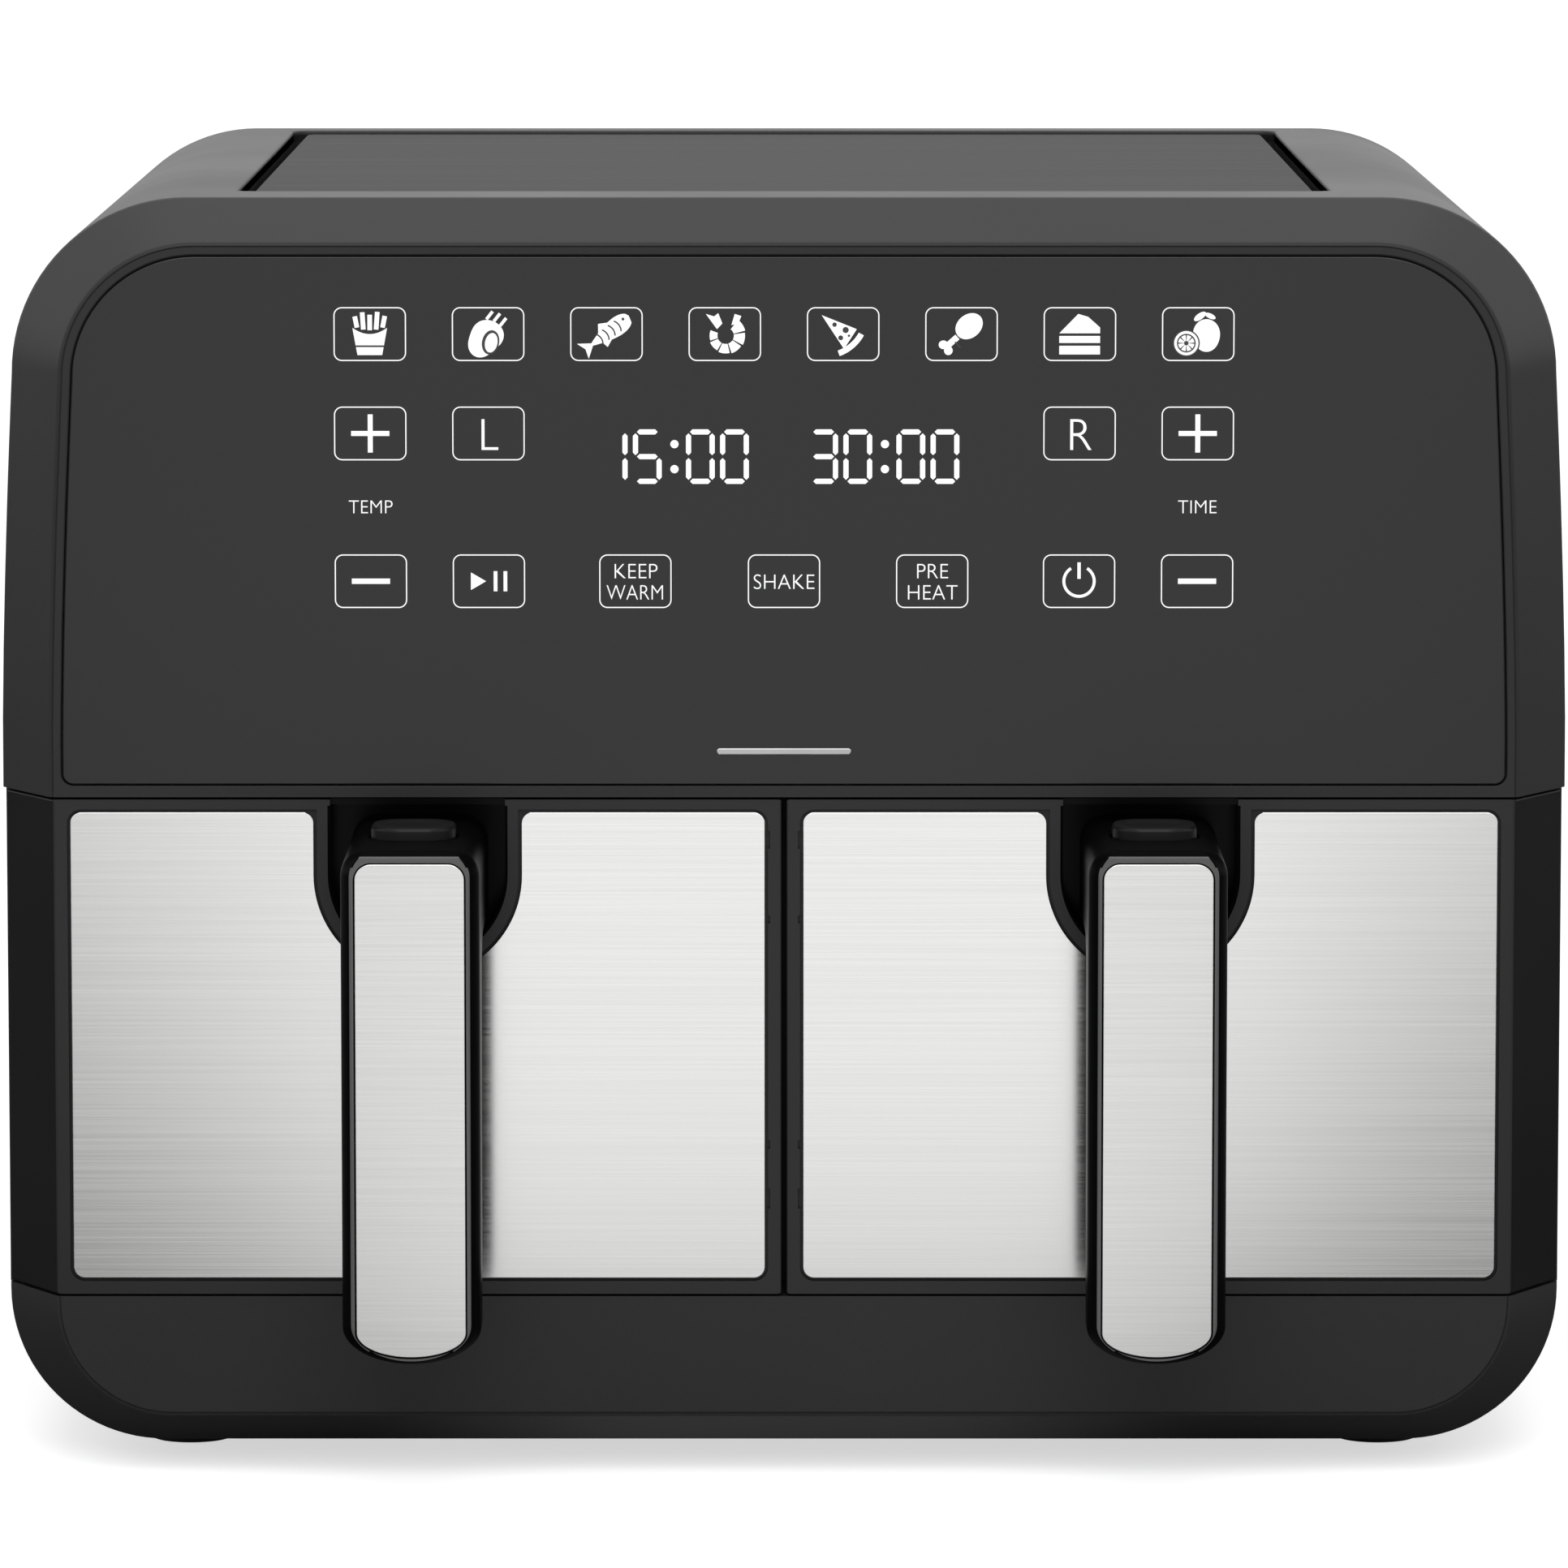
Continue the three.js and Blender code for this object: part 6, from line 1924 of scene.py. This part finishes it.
class AIRFRYER_OT_printing(bpy.types.Operator):
    """Makes the keys' frames, their symbols and words, and the two lit times."""

    bl_idname = "airfryer.printing"
    bl_label = "Symbols and figures"

    def execute(self, context):
        p = context.scene.fryer_panel
        column = [(i - 3.5) * p.key_pitch for i in range(8)]
        rows = KEY_ROWS
        keep_x, heat_x = WIDE_KEYS
        frames = []
        places = [(x, rows[0]) for x in column]
        places += [(x, rows[1]) for x in (column[0], column[1], column[6], column[7])]
        places += [(x, rows[2]) for x in (column[0], column[1], keep_x, 0.0, heat_x)]
        places += [(x, rows[2]) for x in (column[6], column[7])]
        for x, z in places:
            w, h, t = p.key_width / 2, p.key_height / 2, p.key_line
            outer = rounded(x - w, x + w, z - h, z + h, 0.002)
            inner = rounded(x - w + t, x + w - t, z - h + t, z + h - t, 0.002 - t)
            frames.append(ring_sheet(outer, inner, FACE_Y - p.print_depth, FACE_Y))
        keys = gathered("key_frames", frames)
        merge(keys)
        finished(keys, "body", "display", material("print"))
        draws = (draw_fries, draw_joint, draw_fish, draw_shrimp)
        draws += (draw_pizza, draw_drumstick, draw_cake, draw_fruit)
        for x, draw in zip(column, draws):
            draw(x, rows[0])
        for x in (column[0], column[7]):
            printed(bar(-4.65, 0, 4.65, 0, 1.2), x=x, z=rows[1])
            printed(bar(0, 0.6, 0, 4.65, 1.2), x=x, z=rows[1])
            printed(bar(0, -4.65, 0, -0.6, 1.2), x=x, z=rows[1])
            printed(bar(-4.65, 0, 4.65, 0, 1.3), x=x, z=rows[2])
        printed([[-4.4, -2.15], [-0.7, 0], [-4.4, 2.15]], x=column[1], z=rows[2])
        printed(bar(1.6, -2.45, 1.6, 2.45, 0.9), x=column[1], z=rows[2])
        printed(bar(4.0, -2.45, 4.0, 2.45, 0.9), x=column[1], z=rows[2])
        printed(sector(3.35, 4.05, 122, 418, steps=44), x=column[6], z=rows[2])
        printed(bar(0, 0.6, 0, 4.6, 0.8), x=column[6], z=rows[2])
        upper, lower = rows[2] + WORD_STEP, rows[2] - WORD_STEP
        words = (
            ("L", column[1], rows[1], 0.0084, 0.94),
            ("R", column[6], rows[1], 0.0084, 0.94),
            ("TEMP", column[0], LABEL_Z, 0.0035, 0.95),
            ("TIME", column[7], LABEL_Z, 0.0035, 0.95),
            ("SHAKE", 0.0, rows[2], WORD_HEIGHT, 0.95),
            ("KEEP", keep_x, upper, WORD_HEIGHT, 0.95),
            ("WARM", keep_x, lower, WORD_HEIGHT, 0.86),
            ("PRE", heat_x, upper, WORD_HEIGHT, 0.95),
            ("HEAT", heat_x, lower, WORD_HEIGHT, 0.95),
        )
        for word in words:
            draw_word(*word)
        symbols = gathered("key_symbols", PRINTS["light"])
        finished(symbols, "body", "display", material("print"))
        cuts = gathered("symbol_lines", PRINTS["dark"])
        finished(cuts, "body", "panel", material("ink"))
        for name, text, centre in TIMES:
            x0, z0 = centre - TIME_HALF, TIME_Z
            sheets = []
            for sign, shift in zip(text.replace(":", ""), FIGURE_SHIFTS):
                sheets += figure(sign, x0 + shift, z0)
            for dz in (0.0036, 0.0097):
                dot = ellipse(x0 + 0.0184, z0 + dz, 0.001, 0.001)
                sheets.append(along_y([(FACE_Y - p.print_depth, dot), (FACE_Y, dot)]))
            digits = gathered(f"{name}_time_figures", sheets)
            finished(digits, "body", "display", material("print"))
        return {"FINISHED"}


# ---------------------------------------------------------------- the studio


class AIRFRYER_OT_studio(bpy.types.Operator):
    """Makes the floor, the room's light, the lamps and the camera."""

    bl_idname = "airfryer.studio"
    bl_label = "Studio"

    def execute(self, context):
        scene = context.scene
        levels = scene.fryer_studio
        self.floor(scene, levels)
        self.room(scene, levels)
        self.lamp("overhead", (0.0, 0.15, 1.9), (0.0, 0.0, 0.1), 1.7, levels.overhead)
        self.lamp("front", (0.0, -1.5, 1.35), (0.0, -0.5, 0.1), 1.3, levels.front)

        camera = bpy.data.cameras.new("camera")
        camera.lens = CAMERA_LENS
        camera.sensor_width = CAMERA_SENSOR
        camera.clip_end = 60.0
        eye = bpy.data.objects.new("camera", camera)
        eye.location = CAMERA_PLACE
        eye.rotation_euler = (math.radians(CAMERA_TILT), 0.0, 0.0)
        scene.collection.objects.link(eye)
        scene.camera = eye
        scene.view_settings.view_transform = "Standard"
        return {"FINISHED"}

    @staticmethod
    def floor(scene, levels):
        """A pale paper floor that keeps the object's shadow.

        The camera sees it lifted towards white, and reflections see a pool of light painted on it.
        """
        reach = FLOOR_REACH
        sheet_shape = Surface().add(
            [[-reach, -reach, 0], [reach, -reach, 0], [reach, reach, 0], [-reach, reach, 0]],
            [(0, 1, 2, 3)],
        )
        mesh = bpy.data.meshes.new("floor")
        mesh.from_pydata(np.vstack(sheet_shape.points).tolist(), [], sheet_shape.faces)
        ground = bpy.data.objects.new("floor", mesh)
        scene.collection.objects.link(ground)
        sheet = bpy.data.materials.new("paper floor")
        sheet.use_nodes = True
        tree = sheet.node_tree
        tree.nodes.clear()
        rays = add(tree, "ShaderNodeLightPath")
        matte = add(tree, "ShaderNodeBsdfDiffuse", values={"Color": linear("f6f6f6")})
        lift = add(
            tree,
            "ShaderNodeMath",
            {"operation": "MULTIPLY"},
            {1: levels.floor_lift},
            {0: rays.outputs["Is Camera Ray"]},
        )
        glow = add(
            tree,
            "ShaderNodeEmission",
            values={"Color": linear("ffffff")},
            links={"Strength": lift.outputs["Value"]},
        )
        seen = add(
            tree, "ShaderNodeAddShader", links={0: matte.outputs["BSDF"], 1: glow.outputs["Emission"]}
        )
        # Glossy rays see a pool of light painted on the floor, darker near the face as painted shade.
        pool = add(
            tree,
            "ShaderNodeEmission",
            values={"Color": linear("ffffff")},
            links={"Strength": AIRFRYER_OT_studio.pool(tree)},
        )
        both = add(
            tree,
            "ShaderNodeMixShader",
            links={
                0: rays.outputs["Is Glossy Ray"],
                1: seen.outputs["Shader"],
                2: pool.outputs["Emission"],
            },
        )
        add(tree, "ShaderNodeOutputMaterial", links={"Surface": both.outputs["Shader"]})
        mesh.materials.append(sheet)

    @staticmethod
    def pool(tree):
        """The floor's brightness in reflections: a painted pool of light that widens in front of the
        object.

        With f the distance in front of the face, the share across is |x| / (0.10 + 0.28 f). The
        brightness falls smoothly as that share grows, and near the face it rises smoothly with f.
        """
        where = add(tree, "ShaderNodeTexCoord").outputs["Object"]
        axis = add(tree, "ShaderNodeSeparateXYZ", links={"Vector": where})

        def maths(operation, first, second=None):
            made = add(tree, "ShaderNodeMath", {"operation": operation})
            for socket, value in enumerate((first, second)):
                if isinstance(value, float):
                    made.inputs[socket].default_value = value
                elif value is not None:
                    tree.links.new(value, made.inputs[socket])
            return made.outputs["Value"]

        ahead = maths("SUBTRACT", float(FACE_Y), axis.outputs["Y"])
        width = maths("MAXIMUM", maths("ADD", maths("MULTIPLY", ahead, 0.28), 0.10), 0.02)
        share = maths("DIVIDE", maths("ABSOLUTE", axis.outputs["X"]), width)
        across = add(
            tree,
            "ShaderNodeMapRange",
            {"interpolation_type": "SMOOTHSTEP"},
            {"From Min": 0.3, "From Max": 1.2, "To Min": 1.0, "To Max": 0.14},
            {"Value": share},
        )
        near = add(
            tree,
            "ShaderNodeMapRange",
            {"interpolation_type": "SMOOTHSTEP"},
            {"From Min": 0.0, "From Max": 0.40, "To Min": 0.18, "To Max": 1.0},
            {"Value": ahead},
        )
        return maths("MULTIPLY", across.outputs["Result"], near.outputs["Result"])

    @staticmethod
    def room(scene, levels):
        """A room that is white where the camera, a reflection or a view through glass shows it.

        It lights the object's matt surfaces at a lower level, so that the lamps give them their form.
        """
        world = bpy.data.worlds.new("studio")
        scene.world = world
        world.use_nodes = True
        tree = world.node_tree
        tree.nodes.clear()
        rays = add(tree, "ShaderNodeLightPath")
        dim = add(
            tree,
            "ShaderNodeBackground",
            values={"Color": linear("ffffff"), "Strength": levels.room},
        )
        seen = rays.outputs["Is Camera Ray"]
        for key in ("Is Glossy Ray", "Is Transmission Ray"):
            seen = add(
                tree, "ShaderNodeMath", {"operation": "MAXIMUM"}, links={0: seen, 1: rays.outputs[key]}
            ).outputs["Value"]
        white = add(tree, "ShaderNodeBackground", values={"Color": linear("ffffff"), "Strength": 1.0})
        mix = add(
            tree,
            "ShaderNodeMixShader",
            links={0: seen, 1: dim.outputs["Background"], 2: white.outputs["Background"]},
        )
        add(tree, "ShaderNodeOutputWorld", links={"Surface": mix.outputs["Shader"]})

    @staticmethod
    def lamp(name, place, aim, size, power):
        """A square soft box that points at a place."""
        data = bpy.data.lights.new(name, "AREA")
        data.size = size
        data.energy = power
        made = bpy.data.objects.new(name, data)
        made.location = place
        made.rotation_euler = (Vector(aim) - Vector(place)).to_track_quat("-Z", "Y").to_euler()
        made.visible_camera = False
        bpy.context.scene.collection.objects.link(made)


STEPS = (
    AIRFRYER_OT_studio,
    AIRFRYER_OT_upper_shell,
    AIRFRYER_OT_lower_shells,
    AIRFRYER_OT_rear,
    AIRFRYER_OT_top_plate,
    AIRFRYER_OT_panel,
    AIRFRYER_OT_printing,
    AIRFRYER_OT_drawer_fronts,
    AIRFRYER_OT_steel_plates,
    AIRFRYER_OT_handles,
    AIRFRYER_OT_buttons,
    AIRFRYER_OT_pans,
    AIRFRYER_OT_feet,
    AIRFRYER_OT_cooking_parts,
)


class AIRFRYER_PT_sidebar(bpy.types.Panel):
    """Lists the steps that build the air fryer."""

    bl_idname = "AIRFRYER_PT_sidebar"
    bl_label = "Air fryer"
    bl_space_type = "VIEW_3D"
    bl_region_type = "UI"
    bl_category = "Air fryer"

    def draw(self, context):
        for step in STEPS:
            self.layout.operator(step.bl_idname)


GROUPS = {
    "fryer_shell": ShellSizes,
    "fryer_panel": PanelSizes,
    "fryer_drawer": DrawerSizes,
    "fryer_finish": Finishes,
    "fryer_studio": StudioLevels,
}


def register():
    for group in GROUPS.values():
        bpy.utils.register_class(group)
    for name, group in GROUPS.items():
        setattr(bpy.types.Scene, name, PointerProperty(type=group))
    for step in (*STEPS, AIRFRYER_PT_sidebar):
        bpy.utils.register_class(step)


def unregister():
    for step in reversed((*STEPS, AIRFRYER_PT_sidebar)):
        bpy.utils.unregister_class(step)
    for name, group in GROUPS.items():
        delattr(bpy.types.Scene, name)
        bpy.utils.unregister_class(group)


def main():
    register()
    for step in STEPS:
        family, name = step.bl_idname.split(".")
        getattr(getattr(bpy.ops, family), name)()


if __name__ == "__main__":
    main()
